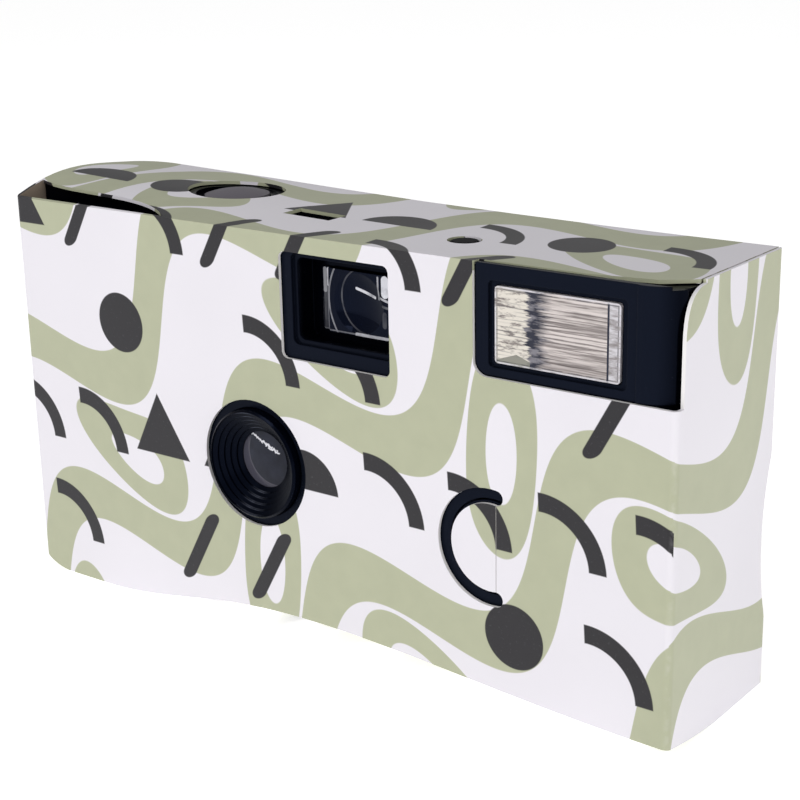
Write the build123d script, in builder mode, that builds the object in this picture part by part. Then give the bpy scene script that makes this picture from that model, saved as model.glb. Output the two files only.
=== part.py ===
"""Disposable 35 mm film camera with flash, in a folded board sleeve.

Millimetres. +X is right as seen from the front, +Y goes back from the lens, +Z is up. The origin is at
the middle of the footprint, on the surface that the camera stands on. Depths are counted back from the
outer face of the front panel.
"""
import os
from math import atan2, cos, degrees, pi, radians, sin, sqrt

from build123d import *

# Board sleeve
body_width = 116.0
sleeve_depth = 31.0
front_height = 61.7
board = 0.5
board_gap = 0.15
board_fold = 1.0
right_drawn_in = 3.0
middle_drawn_in = 1.6
middle_x = 0.0
bulge_reach = 27.0
rear_corner = 5.0
sweep_radius = 40.0
hump_rise = 2.7
middle_rise = 0.75
hump_front_depth = 9.0
hump_rear_inset = 11.0
rise_middle_x = -20.0
arch_height = 3.5
arch_x = -17.0
right_lift = 1.7
foot_round = 3.5
foot_round_width = 7.0
foot_length = 13.0
base_sink = 0.08
lift_shares = (1.2, 1.0, 0.22, 0.0, 0.0, 0.0)
rise_shares = (-0.3, 0.0, 1.0, 1.0, 0.55, 0.45)
waist_depth = 2.4
waist_height = 26.0
waist_z = 22.0
waist_run = 18.0
side_slit = 0.25
side_slit_front = 6.0

# Plastic covers
wall = 1.2
body_corner = 6.0
flash_corner = 5.0
split_depth = 7.5
ledge_drop = 1.5
ledge_depth = 5.8
ledge_length = 32.0
finger_edge_shares = ((1.2, 0.55), (1.75, 0.83))
finger_end_share = 0.97
fit = 0.1
overrun = 2.0

# Lens and shutter
lens_x = -10.1
lens_z = 27.0
lens_hole_radius = 9.6
lens_proud = 0.9
barrel_radius = 8.2
barrel_length = 4.1
barrel_edge = 0.3
lip_radius = 7.8
cone_radius = 4.3
cone_depth = 2.1
cone_steps = 5
cone_tread_share = 0.55
flange_radius = 9.3
flange_thickness = 0.8
glass_radius = 4.6
glass_thickness = 1.5
glass_bulge = 0.35
glass_hollow = 0.25
half_radius_share = 0.75
retainer_bore = 3.0
shutter_plate_left = 15.0
shutter_plate_right = 13.5
shutter_plate_below = 12.0
shutter_plate_above = 18.6
shutter_plate_thickness = 0.6
spacer_radius = 1.2
spacer_inset = 1.6
aperture_radius = 1.5
blade_thickness = 0.3
blade_radius = 3.3
blade_arm = 11.0
blade_arm_angle = 128.0
blade_width = 2.6
blade_tail = 4.6
layer_gap = 0.25
pin_radius = 0.9
running_gap = 0.05
striker_arm = 5.2
striker_width = 2.0
striker_tail = 2.6
spring_wire = 0.3
wire_sides = 6
spring_radius = 1.3
spring_pitch = 0.35
spring_height = 0.7
spring_leg = 4.4
blade_spring_angles = (90.0, 170.0)
striker_spring_angles = (0.0, 240.0)
spring_seat = 0.2

# Viewfinder
finder_x = 5.5
finder_drop = 10.05
finder_width = 19.0
finder_height = 15.3
finder_round = 1.0
finder_rim_left = 2.4
finder_rim_right = 0.5
finder_rim_bottom = 2.8
finder_rim_top = 0.8
recess_depth = 4.4
recess_step = 0.7
finder_lens_front = 3.6
finder_dish_radius = 4.3
finder_dish_depth = 0.8
finder_rear_dish_radius = 3.0
finder_rear_dish_depth = 0.5
finder_clip_width = 1.5
finder_clip_step = 0.6
finder_gap = 0.1
finder_lens_offset = 0.9
finder_lens_lift = 0.75
finder_lens_width = 12.0
finder_lens_height = 9.0
finder_lens_thickness = 3.0
eyepiece_width = 9.6
eyepiece_height = 7.0
eyepiece_window_width = 11.6
eyepiece_window_height = 9.0
eyepiece_thickness = 2.0
eyepiece_bulge = 0.4
eyepiece_inset = 1.8
tunnel_wall = 0.5
tunnel_gap = 0.3

# Flash
flash_span = 29.5
flash_drop = 15.0
flash_round = 2.0
flash_cut_depth = 1.6
flash_corner_cut = 6.6
flash_corner_width = 14.0
flash_flare = 7.0
flash_lens_inset = 17.3
flash_lens_lift = 7.05
flash_lens_width = 18.2
flash_lens_height = 10.1
flash_lens_thickness = 1.8
flash_lens_front = 0.45
flash_lens_flange = 0.8
flash_lens_ribs = 11
flash_rib_depth = 0.3
bezel_width = 20.1
bezel_height = 11.4
bezel_sink = 0.45
surround_step_inset = 5.9
surround_step = 0.2
surround_edge = 0.7
surround_depth = 3.0
surround_gap = 0.25
reflector_depth = 7.4
reflector_skin = 0.4
flash_tube_radius = 1.3
flash_tube_length = 19.4
flash_tube_cap = 1.4
flash_tube_depth = 7.4
electrode_radius = 0.6

# Flash button and board tab
tab_inset = 27.0
tab_z = 23.2
tab_radius = 6.2
tab_slot = 2.15
tab_slot_half_angle = 98.0
tab_gap = 0.1
flash_button_radius = 6.5
flash_button_clear = 0.25
flash_button_flange = 7.4
flash_button_flange_height = 0.6
flash_button_travel = 0.9
flash_button_seat = 0.05
switch_radius = 2.6
switch_crown_radius = 1.4
switch_rise = 0.12
switch_gap = 0.08

# Film path
film_height = 35.0
film_thickness = 0.15
film_inset = 6.1
gate_width = 36.0
gate_height = 24.0
gate_thickness = 1.0
rail_height = 0.8
rail_rise = 0.6
perforation_pitch = 4.75
perforation_width = 2.0
perforation_height = 2.8
perforation_edge = 2.0
chamber_wall = 0.8
chamber_gap = 0.3
cassette_space = 1.25
cassette_radius = 12.3
cassette_height = 47.0
cassette_skin = 0.4
cap_radius = 12.6
cap_height = 3.0
cassette_floor_z = 3.5
spool_radius = 5.6
spool_end_radius = 4.4
spool_end_height = 3.3
spool_bore = 3.4
mouth_offset = 9.2
mouth_reach = 9.5
mouth_thickness = 1.7
mouth_slot = 0.45
roll_space = 1.05
roll_radius = 8.9
supply_radius = 5.4
supply_flange = 7.0
flange_height = 0.7
funnel_front_width = 8.0
funnel_front_height = 7.0
funnel_wall = 0.8
light_hole = 2.2
deck_left_space = 0.5
deck_right_space = 8.1
frame_right = 15.0
gate_left_reach = 10.4
gate_right_reach = 5.6
rib_shares = (-0.3, -0.1, 0.1, 0.3)
door_width_share = 0.9
door_depth_share = 0.85
gate_bottom = 8.0
chamber_bottom = 4.0
roll_floor = 7.2
roll_pin = 1.5
roll_pin_length = 5.0
deck_drop = 15.7
deck_thickness = 1.2

# Winding
wheel_radius = 13.4
wheel_drop = 7.8
wheel_thickness = 3.7
wheel_rim = 1.8
wheel_web = 1.4
wheel_hub = 4.2
wheel_teeth = 60
wheel_tooth = 0.5
tooth_shares = (0, 0.3, 0.6)
wheel_reach = 1.5
wheel_shaft = 2.0
fork_radius = 3.2
fork_gap = 0.8
fork_slot = 1.6
key_width = 1.2
scoop_width = 19.0
scoop_height = 7.6
scoop_round = 2.0
scoop_wall = 0.8
wheel_clearance = 0.5
bearing_wall = 1.4
bearing_drop = 0.2
pawl_thickness = 0.3
pawl_offset = 7.55
pawl_tip_gap = 0.35
pawl_length = 5.2
pawl_height = 2.0
sprocket_offset = 9.9
sprocket_teeth = 8
sprocket_film_drop = 4.2
sprocket_height = 2.0
sprocket_shaft = 1.5
sprocket_lift = 3.8
sprocket_clear = 0.4
tooth_width = 1.3
tooth_height = 1.2
cam_radius = 4.6
cam_gap = 0.3
cam_height = 1.8
cam_notch = 1.6
dial_x = -15.3
dial_depth = 14.0
dial_radius = 9.8
dial_thickness = 1.0
dial_drop = 5.1
dial_hub = 1.2
dial_collar = 2.4
dial_post = 1.8
dial_collar_height = 1.0
dial_marks = 27
dial_mark_radius = 8.4
dial_mark_sink = 0.2
dial_mark_width = 0.5
dial_mark_length = 1.3
counter_offset = 8.2
counter_depth = 11.8
counter_width = 8.5
counter_length = 4.0
counter_pane = 1.2
counter_pane_drop = 1.7
counter_flange = 0.6
counter_flange_height = 0.4

# Shutter button
button_offset = 13.2
button_back_offset = 2.7
button_hole_radius = 7.5
button_ring_radius = 6.3
button_ring_sink = 0.5
button_proud = 1.25
button_flange_drop = 1.3
button_radius = 5.0
button_dome = 0.8
button_clear = 0.25
button_flange = 6.2
button_flange_height = 0.9
stem_angle = 68.6
stem_offset = 4.94
stem_radius = 1.1
stem_tip_lift = 1.3
guide_lift = 4.1
guide_thickness = 0.8
guide_width = 4.2
guide_wall = 0.8
button_spring_radius = 1.55
button_spring_turns = 6
lock_offset = 4.8
lock_film_offset = 12.9
lock_lift = 2.6
lock_width = 2.0
lock_thickness = 1.2
lock_end_gap = 0.85
lock_collar = 1.8
lock_pin_radius = 0.7
lock_pin_reach = 6.1

# Circuit, battery and lamp
circuit_span = 37.8
circuit_inset = 4.0
circuit_bottom = 10.5
circuit_top = 44.0
circuit_thickness = 1.0
circuit_post = 1.5
circuit_post_inset = 2.6
circuit_notch = 8.0
screw_head = 1.2
screw_head_height = 0.6
screw_shank = 0.6
screw_depth = 2.2
capacitor_x = 11.6
capacitor_depth = 8.2
capacitor_radius = 4.2
capacitor_length = 26.0
capacitor_z = 18.2
cradle_thickness = 1.2
cradle_low_z = 22.0
cradle_high_z = 40.0
transformer_size = 6.4
winding_width = 4.4
transformer_offset = 8.2
transformer_z = 16.0
coil_width = 4.2
coil_height = 6.6
coil_offset = 5.2
coil_z = 36.0
lamp_inset = 38.0
lamp_depth = 10.6
lamp_hole_radius = 2.4
lamp_radius = 1.5
lamp_length = 4.6
pipe_radius = 2.1
pipe_stem = 1.4
pipe_drop = 0.2
pipe_head = 2.2
battery_radius = 5.15
battery_length = 44.5
battery_x = -5.0
battery_depth = 7.5
battery_z = 9.0
terminal_radius = 1.9
terminal_length = 0.9
contact_thickness = 0.4
contact_width = 8.0
contact_height = 9.0
sync_x = 4.4
sync_z = 32.0
sync_height = 4.0
sync_reach = 3.2

# Derived places
front_y = lens_proud - (sleeve_depth + lens_proud) / 2
left_end = -body_width / 2
right_end = body_width / 2
right_depth = sleeve_depth - right_drawn_in
middle_depth = sleeve_depth - middle_drawn_in
hump_rear_depth = sleeve_depth - hump_rear_inset
bulge_x = left_end + bulge_reach
foot_end_x = left_end + foot_length
ledge_x = left_end + ledge_length
ledge_z = front_height - ledge_drop
cover_inset = board + board_gap
inner_inset = cover_inset + wall
section_depths = (-overrun, 0.0, hump_front_depth, hump_rear_depth, sleeve_depth, sleeve_depth + overrun)
top_above = front_height + hump_rise + overrun
film_depth = sleeve_depth - film_inset
film_back = film_depth + film_thickness
film_low = lens_z - film_height / 2
film_high = lens_z + film_height / 2
plate_depth = cover_inset + barrel_length - lens_proud
blade_depth = plate_depth + shutter_plate_thickness + layer_gap
striker_depth = blade_depth + blade_thickness + layer_gap
frame_front = striker_depth + blade_thickness + layer_gap
frame_wall_back = frame_front + chamber_wall
gate_depth = film_depth - gate_thickness
chamber_bore = cap_radius + chamber_gap
chamber_outer = chamber_bore + chamber_wall
roll_bore = roll_radius + chamber_gap
roll_outer = roll_bore + chamber_wall
cassette_x = left_end + inner_inset + cassette_space + chamber_outer
cassette_depth = film_depth - mouth_offset
mouth_end_x = cassette_x + mouth_reach
roll_x = right_end - inner_inset - roll_space - roll_outer
roll_depth = film_depth - roll_radius
gate_left = cassette_x + gate_left_reach
gate_right = roll_x - gate_right_reach
deck_left = cassette_x + chamber_outer + deck_left_space
deck_right = roll_x - roll_outer - deck_right_space
deck_z = front_height - deck_drop
deck_top = deck_z + deck_thickness
wheel_z = front_height - wheel_drop
wheel_top = wheel_z + wheel_thickness
fork_low = cassette_floor_z + cassette_height + fork_gap
sprocket_z = film_high - sprocket_film_drop
sprocket_top = deck_top + sprocket_lift
cam_z = deck_top + cam_gap
dial_z = front_height - dial_drop
stem_tip_z = deck_top + stem_tip_lift
guide_z = deck_top + guide_lift
lock_z = deck_top + lock_lift
lock_depth = film_depth - lock_film_offset
scoop_depth = cassette_depth + wheel_radius - wheel_reach
bearing_top = front_height - bearing_drop
pawl_depth = cassette_depth - pawl_offset
sprocket_x = lens_x - sprocket_offset
lock_x = sprocket_x - lock_offset
counter_x = dial_x + counter_offset
counter_pane_z = front_height - counter_pane_drop
button_x = cassette_x + button_offset
button_depth = cassette_depth + button_back_offset
button_top = front_height + button_proud
button_flange_top = front_height - button_flange_drop
finder_z = front_height - finder_drop
finder_lens_x = finder_x + finder_lens_offset
finder_lens_z = finder_z + finder_lens_lift
eyepiece_depth = right_depth - eyepiece_inset
flash_left = right_end - flash_span
flash_bottom = front_height - flash_drop
flash_lens_x = right_end - flash_lens_inset
flash_lens_z = flash_bottom + flash_lens_lift
surround_step_x = right_end - surround_step_inset
tab_x = right_end - tab_inset
button_face = board + flash_button_seat
button_back = inner_inset + flash_button_seat
flange_rear = button_back + flash_button_flange_height
circuit_left = right_end - circuit_span
circuit_right = right_end - circuit_inset
circuit_depth = flange_rear + flash_button_travel + switch_gap + switch_rise
transformer_x = circuit_left + transformer_offset
coil_x = circuit_left + coil_offset
lamp_x = right_end - lamp_inset
pipe_top = front_height - pipe_drop


def back(depth):
    """The y of a place this far behind the front panel's outer face."""
    return front_y + depth


def facing(depth):
    """A plane parallel to the front panel; a negative extrusion from it goes back."""
    return Plane.XZ.offset(-back(depth))


def block(x, depth, z, mode=Mode.ADD):
    """A straight block between two values on each axis."""
    with Locations((sum(x) / 2, back(sum(depth) / 2), sum(z) / 2)):
        Box(x[1] - x[0], depth[1] - depth[0], z[1] - z[0], mode=mode)


def rod(x, z, radius, depth, mode=Mode.ADD):
    """A round rod from front to back between two depths."""
    with Locations((x, back(sum(depth) / 2), z)):
        Cylinder(radius, depth[1] - depth[0], rotation=(90, 0, 0), mode=mode)


def pillar(x, depth, radius, z, mode=Mode.ADD):
    """A round upright pillar between two heights."""
    with Locations((x, back(depth), sum(z) / 2)):
        Cylinder(radius, z[1] - z[0], mode=mode)


def axle(x, depth, z, radius, mode=Mode.ADD):
    """A round rod from left to right between two values of x."""
    with Locations((sum(x) / 2, back(depth), z)):
        Cylinder(radius, x[1] - x[0], rotation=(0, 90, 0), mode=mode)


def window(x, z, width, height, radius, depth, mode=Mode.SUBTRACT):
    """A rounded rectangle, drawn as seen from the front, between two depths."""
    with BuildSketch(facing(depth[0])) as shape:
        with Locations((x, z)):
            RectangleRounded(width, height, radius)
    extrude(shape.sketch, amount=depth[0] - depth[1], mode=mode)


def edge_offset(inset):
    """Left, right and lower limits of an outline drawn this far inside the board's outer face."""
    return inset - body_width / 2, body_width / 2 - inset, inset


def form(inset, left_radius, right_radius, rear_radius):
    """The camera's outer form, drawn in by an inset, with its hump, arched sole, bulge and waist."""
    left, right, low = edge_offset(inset)
    sole = low - base_sink
    with BuildPart() as shape:
        for depth, lift, rise in zip(section_depths, lift_shares, rise_shares):
            with BuildSketch(facing(depth)):
                with BuildLine():
                    corner = Bezier(
                        (left - overrun, sole + foot_round + overrun),
                        (left, sole),
                        (left + foot_round_width, sole),
                    )
                    foot = Line(corner @ 1, (foot_end_x, sole))
                    arch = Spline(
                        foot @ 1,
                        (arch_x, sole + arch_height * lift),
                        (right + overrun, sole + right_lift * lift),
                        tangents=((1, 0), (1, 0)),
                    )
                    side = Line(arch @ 1, (right + overrun, front_height - inset))
                    top = Spline(
                        side @ 1,
                        (rise_middle_x, front_height + middle_rise * rise - inset),
                        (left - overrun, front_height + hump_rise * rise - inset),
                    )
                    Line(top @ 1, corner @ 0)
                make_face()
        loft()
        with BuildSketch(Plane.XY.offset(low)):
            with BuildLine():
                FilletPolyline(
                    (left, back(inset)),
                    (right, back(inset)),
                    (right, back(right_depth - inset)),
                    (middle_x, back(middle_depth - inset)),
                    (bulge_x, back(sleeve_depth - inset)),
                    (left, back(sleeve_depth - inset)),
                    radius=(left_radius, right_radius, board_fold, sweep_radius, sweep_radius, rear_radius),
                    close=True,
                )
            make_face()
        extrude(amount=top_above, mode=Mode.INTERSECT)
        waist_radius = (waist_height**2 / 4 + waist_depth**2) / (2 * waist_depth)
        waist_turn = degrees(atan2(waist_depth, waist_run))
        waist_y = back(right_depth - waist_depth + waist_radius)
        with Locations(Location((body_width / 2, waist_y, waist_z), (0, 0, -waist_turn))):
            Cylinder(waist_radius + inset, body_width, rotation=(0, 90, 0), mode=Mode.SUBTRACT)
    return shape.part


def ledge(inset):
    """The space above the sunken shoulder under the finger slot."""
    low = ledge_z - inset
    return (-body_width, ledge_x + inset), (-overrun, ledge_depth + inset), (low, low + top_above)


def body_form(inset, shoulder):
    """The plastic body's form: rounded upright corners and the shoulder under the finger slot."""
    shape_in = form(inset, body_corner - inset, flash_corner + board_gap - inset, rear_corner - inset)
    with BuildPart() as shape:
        add(shape_in)
        block(*ledge(shoulder), mode=Mode.SUBTRACT)
    return shape.part


def save(shape, name):
    """Labels a finished piece and writes it."""
    shape.part.label = name
    export_step(shape.part, f"parts/{name}.step")


os.makedirs("parts", exist_ok=True)

sleeve_outer = form(0, board_fold, board_fold, rear_corner)
sleeve_inner = form(board, board_fold - board, board_fold - board, rear_corner - board)
body_outer = body_form(cover_inset, 0)
body_inner = body_form(inner_inset, wall)


# Paper sleeve
slot_start = 180 - tab_slot_half_angle
slot_middle = tab_radius + tab_slot / 2
tab_root_x = tab_x + slot_middle * cos(radians(slot_start))
finger_points = [(ledge_x - board, back(board))]
for along_share, depth_share in finger_edge_shares:
    finger_points.append((ledge_x * along_share, back(ledge_depth * depth_share)))
finger_points.append((left_end + board, back(ledge_depth * finger_end_share)))

# The flash opening's end round the corner, which widens towards the top
with BuildPart() as corner_cut:
    with BuildSketch(Plane.XY.offset(flash_bottom)):
        with BuildLine():
            Polyline(
                (right_end - flash_corner_width, back(flash_cut_depth)),
                (right_end - flash_corner_width / 3, back(flash_corner_cut / 2)),
                (right_end - board / 2, back(flash_corner_cut)),
                (right_end + overrun, back(flash_corner_cut)),
                (right_end + overrun, back(0)),
                (right_end - flash_corner_width, back(0)),
                close=True,
            )
        make_face()
    extrude(amount=top_above)
    flare_low = front_height - flash_flare
    with BuildSketch(Plane.YZ.offset(right_end + 2 * overrun)):
        with BuildLine():
            flare = Spline(
                (back(flash_cut_depth), flare_low),
                (back(flash_corner_cut), front_height - board),
                tangents=((0, 1), (1, 0)),
            )
            Polyline(
                flare @ 1,
                (back(flash_corner_cut), 2 * top_above),
                (back(-overrun), 2 * top_above),
                (back(-overrun), flare_low),
                flare @ 0,
            )
        make_face()
    extrude(amount=-flash_corner_width - 3 * overrun, mode=Mode.INTERSECT)

with BuildPart() as paper_sleeve:
    add(sleeve_outer)
    add(sleeve_inner, mode=Mode.SUBTRACT)
    front_skin = (-overrun, board + board_gap / 2)
    window(finder_x, finder_z, finder_width, finder_height, finder_round, front_skin)
    rod(lens_x, lens_z, lens_hole_radius, front_skin, mode=Mode.SUBTRACT)
    # Flash window, open to the top and round the corner
    flash_width = right_end + overrun - flash_left
    flash_reach = top_above - flash_bottom
    window(
        flash_left + flash_width / 2,
        flash_bottom + flash_reach / 2,
        flash_width,
        flash_reach,
        flash_round,
        (-overrun, flash_cut_depth),
    )
    add(corner_cut.part, mode=Mode.SUBTRACT)
    # Curved slot that frees the tongue, and the tongue's own place
    with BuildSketch(facing(0)) as slot_shape:
        with Locations((tab_x, tab_z)):
            Circle(slot_middle)
        with Locations((tab_root_x + tab_gap / 2 + slot_middle, tab_z)):
            Rectangle(2 * slot_middle, 2 * slot_middle, mode=Mode.SUBTRACT)
        with BuildLine():
            slot_line = CenterArc((tab_x, tab_z), slot_middle, slot_start, 2 * tab_slot_half_angle)
        SlotArc(slot_line, tab_slot)
    extrude(slot_shape.sketch, amount=overrun, both=True, mode=Mode.SUBTRACT)
    # Openings in the top panel
    top_skin = (ledge_z - board, top_above)
    with BuildSketch(Plane.XY.offset(ledge_z - board)):
        with BuildLine():
            finger_edge = Spline(*finger_points)
            Polyline(finger_edge @ 1, (left_end + board, back(board)), finger_edge @ 0)
        make_face()
    extrude(amount=top_above, mode=Mode.SUBTRACT)
    pillar(button_x, button_depth, button_hole_radius, top_skin, mode=Mode.SUBTRACT)
    pillar(lamp_x, lamp_depth, lamp_hole_radius, top_skin, mode=Mode.SUBTRACT)
    block(
        (counter_x - counter_width / 2, counter_x + counter_width / 2),
        (counter_depth - counter_length / 2, counter_depth + counter_length / 2),
        top_skin,
        mode=Mode.SUBTRACT,
    )
    block(
        (right_end - board - side_slit, right_end - board),
        (side_slit_front, right_depth + overrun),
        (front_height - 2 * board, top_above),
        mode=Mode.SUBTRACT,
    )
    # Openings in the rear panel
    rear_skin = (right_depth - overrun, sleeve_depth + overrun)
    window(
        finder_lens_x,
        finder_lens_z,
        eyepiece_window_width,
        eyepiece_window_height,
        finder_round,
        rear_skin,
    )
    scoop_z = wheel_z + wheel_thickness / 2
    window(cassette_x, scoop_z, scoop_width, scoop_height, scoop_round, rear_skin)
save(paper_sleeve, "paper_sleeve")

# Board tongue over the flash button
with BuildPart() as flash_tab:
    with BuildSketch(facing(0)) as tongue:
        with Locations((tab_x, tab_z)):
            Circle(tab_radius)
        with Locations((tab_root_x - tab_gap / 2 + tab_radius, tab_z)):
            Rectangle(2 * tab_radius, 2 * tab_radius, mode=Mode.SUBTRACT)
    extrude(tongue.sketch, amount=-board)
save(flash_tab, "flash_tab")

# Raised black surround of the flash, which fills the board's flash window
everywhere = (-body_width, body_width)
surround_form = form(board_gap, body_corner, flash_corner, rear_corner)
with BuildPart() as surround:
    add(surround_form)
    window(
        flash_left + surround_gap + body_width / 2,
        flash_bottom + surround_gap + top_above / 2,
        body_width,
        top_above,
        flash_round - surround_gap,
        (-overrun, surround_depth),
        mode=Mode.INTERSECT,
    )
    block(
        everywhere,
        (flash_cut_depth - surround_gap, sleeve_depth),
        (front_height - cover_inset, top_above),
        mode=Mode.SUBTRACT,
    )

# Front cover
finder_left = finder_x - finder_width / 2 + finder_rim_left
finder_right = finder_x + finder_width / 2 - finder_rim_right
finder_low = finder_z - finder_height / 2 + finder_rim_bottom
finder_high = finder_z + finder_height / 2 - finder_rim_top
pocket_x = (finder_left + finder_right) / 2
pocket_z = (finder_low + finder_high) / 2
pocket_width = finder_right - finder_left
pocket_height = finder_high - finder_low
post_spots = (
    (circuit_left + circuit_post_inset, circuit_bottom + circuit_post_inset),
    (circuit_right - circuit_post_inset, circuit_bottom + circuit_post_inset),
    (circuit_right - circuit_post_inset, circuit_top - circuit_post_inset),
)
with BuildPart() as front_cover:
    add(body_outer)
    block(everywhere, (split_depth, sleeve_depth + overrun), (-overrun, top_above), mode=Mode.SUBTRACT)
    add(surround.part)
    add(body_inner, mode=Mode.SUBTRACT)
    # Viewfinder recess with its step, and the seat of the front lens
    recess_back = recess_depth + wall
    window(pocket_x, pocket_z, pocket_width + 2 * scoop_wall, pocket_height + 2 * scoop_wall, finder_round,
           (cover_inset, recess_back), mode=Mode.ADD)
    step_width = pocket_width + 2 * recess_step
    step_height = pocket_height + 2 * recess_step
    window(pocket_x, pocket_z, step_width, step_height, finder_round, (0, cover_inset + board))
    window(pocket_x, pocket_z, pocket_width, pocket_height, finder_round, (0, recess_depth))
    seat_width = finder_lens_width + 2 * finder_gap
    seat_height = finder_lens_height + 2 * finder_gap
    window(finder_lens_x, finder_lens_z, seat_width, seat_height, board, (0, recess_back + overrun))
    # Lens and flash button holes
    rod(lens_x, lens_z, barrel_radius + fit, (0, inner_inset + fit), mode=Mode.SUBTRACT)
    rod(tab_x, tab_z, flash_button_radius + flash_button_clear, (0, inner_inset + fit), mode=Mode.SUBTRACT)
    # Flash window: stepped face, sunken frame and the lens opening
    block(
        (flash_left, surround_step_x),
        (0, board_gap + surround_step),
        (flash_bottom, top_above),
        mode=Mode.SUBTRACT,
    )
    frame_floor = board_gap + surround_step + bezel_sink
    window(flash_lens_x, flash_lens_z, bezel_width, bezel_height, surround_edge, (0, frame_floor))
    opening_width = flash_lens_width + 2 * fit
    opening_height = flash_lens_height + 2 * fit
    window(flash_lens_x, flash_lens_z, opening_width, opening_height, board, (0, split_depth))
    for spot_x, spot_z in post_spots:
        rod(spot_x, spot_z, circuit_post, (inner_inset - board, circuit_depth))
        rod(spot_x, spot_z, screw_shank, (screw_depth, circuit_depth), mode=Mode.SUBTRACT)
save(front_cover, "front_cover")

# Rear cover, with the top deck's openings and the thumb scoop
scoop_back = sleeve_depth - inner_inset + wall / 2
chord_depth = scoop_depth - scoop_wall - cassette_depth
wheel_chord = sqrt(wheel_radius**2 - chord_depth**2) + wheel_clearance
rib_spots = [lens_z + share * gate_height for share in rib_shares]
door_half_width = chamber_bore * door_width_share
door_x = (cassette_x - door_half_width, cassette_x + door_half_width)
door_depth = (split_depth + wall, cassette_depth + chamber_bore * door_depth_share)
door_z = (-overrun, inner_inset + board)
with BuildPart() as rear_cover:
    add(body_outer)
    block(everywhere, (-overrun, split_depth), (-overrun, top_above), mode=Mode.SUBTRACT)
    add(body_inner, mode=Mode.SUBTRACT)
    # Thumb scoop round the wheel
    window(cassette_x, scoop_z, scoop_width + 2 * scoop_wall, scoop_height + 2 * scoop_wall, scoop_round,
           (scoop_depth - scoop_wall, scoop_back), mode=Mode.ADD)
    window(cassette_x, scoop_z, scoop_width, scoop_height, scoop_round, (scoop_depth, sleeve_depth))
    block(
        (cassette_x - wheel_chord, cassette_x + wheel_chord),
        (scoop_depth - overrun, sleeve_depth),
        (wheel_z - wheel_clearance, wheel_top + wheel_clearance),
        mode=Mode.SUBTRACT,
    )
    # Bearing of the winding wheel
    bearing_low = wheel_top + wheel_clearance
    pillar(cassette_x, cassette_depth, wheel_shaft + bearing_wall, (bearing_low, bearing_top + board))
    shaft_bore = wheel_shaft + running_gap
    pillar(cassette_x, cassette_depth, shaft_bore, (wheel_top, bearing_top), mode=Mode.SUBTRACT)
    # Ribs that hold the film flat on the gate
    for rib_z in rib_spots:
        block(
            (lens_x - gate_width / 2, lens_x + gate_width / 2),
            (film_back + chamber_gap, middle_depth - inner_inset),
            (rib_z - rail_height / 2, rib_z + rail_height / 2),
        )
    # Holes in the top
    button_bore = button_radius + button_clear
    pillar(button_x, button_depth, button_bore, (button_flange_top, top_above), mode=Mode.SUBTRACT)
    ring_z = button_top - button_dome - button_ring_sink
    pillar(button_x, button_depth, button_ring_radius, (ring_z, top_above), mode=Mode.SUBTRACT)
    pillar(lamp_x, lamp_depth, pipe_radius + fit, (pipe_top - pipe_head, top_above), mode=Mode.SUBTRACT)
    block(
        (counter_x - counter_width / 2 - fit, counter_x + counter_width / 2 + fit),
        (counter_depth - counter_length / 2 - fit, counter_depth + counter_length / 2 + fit),
        (counter_pane_z - counter_flange, top_above),
        mode=Mode.SUBTRACT,
    )
    window(finder_lens_x, finder_lens_z, eyepiece_width + 2 * fit, eyepiece_height + 2 * fit, board,
           (right_depth - inner_inset - overrun, sleeve_depth))
    block(door_x, door_depth, door_z, mode=Mode.SUBTRACT)
save(rear_cover, "rear_cover")

# Cassette door in the underside
with BuildPart() as cassette_door:
    add(body_outer)
    add(body_inner, mode=Mode.SUBTRACT)
    block(
        (door_x[0] + fit, door_x[1] - fit),
        (door_depth[0] + fit, door_depth[1] - fit),
        door_z,
        mode=Mode.INTERSECT,
    )
save(cassette_door, "cassette_door")


def turned(x, depth, z, direction, points):
    """A solid of revolution from (radius, height) points, about a line that starts at a place."""
    centre = (x, back(depth), z)
    radial = (1, 0, 0) if direction[0] == 0 else (0, 1, 0)
    normal = Vector(radial).cross(Vector(direction))
    with BuildSketch(Plane(origin=centre, x_dir=radial, z_dir=normal)) as profile:
        with BuildLine():
            Polyline(*points, close=True)
        make_face()
    revolve(profile.sketch, axis=Axis(centre, direction))


def coil(x, depth, z, direction, radius, pitch, height):
    """A coil of wire that starts at a place."""
    with BuildLine() as path:
        Helix(pitch, height, radius, center=(x, back(depth), z), direction=direction)
    with BuildSketch(Plane(origin=path.line @ 0, z_dir=path.line % 0)) as wire:
        RegularPolygon(spring_wire / 2, wire_sides)
    sweep(wire.sketch, path=path.line)


def lever(x, z, reach, tail, angle, width, depth):
    """A flat lever with round ends, facing the front, round a pivot hole."""
    with BuildSketch(facing(depth[0])) as shape:
        with Locations(Location((x, z, 0), (0, 0, angle))):
            with Locations(((reach - tail) / 2, 0)):
                SlotCenterToCenter(reach + tail, width)
        with Locations((x, z)):
            Circle(width / 2 + running_gap + spacer_radius / 2)
            Circle(pin_radius + running_gap, mode=Mode.SUBTRACT)
    extrude(shape.sketch, amount=depth[0] - depth[1])


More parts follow.
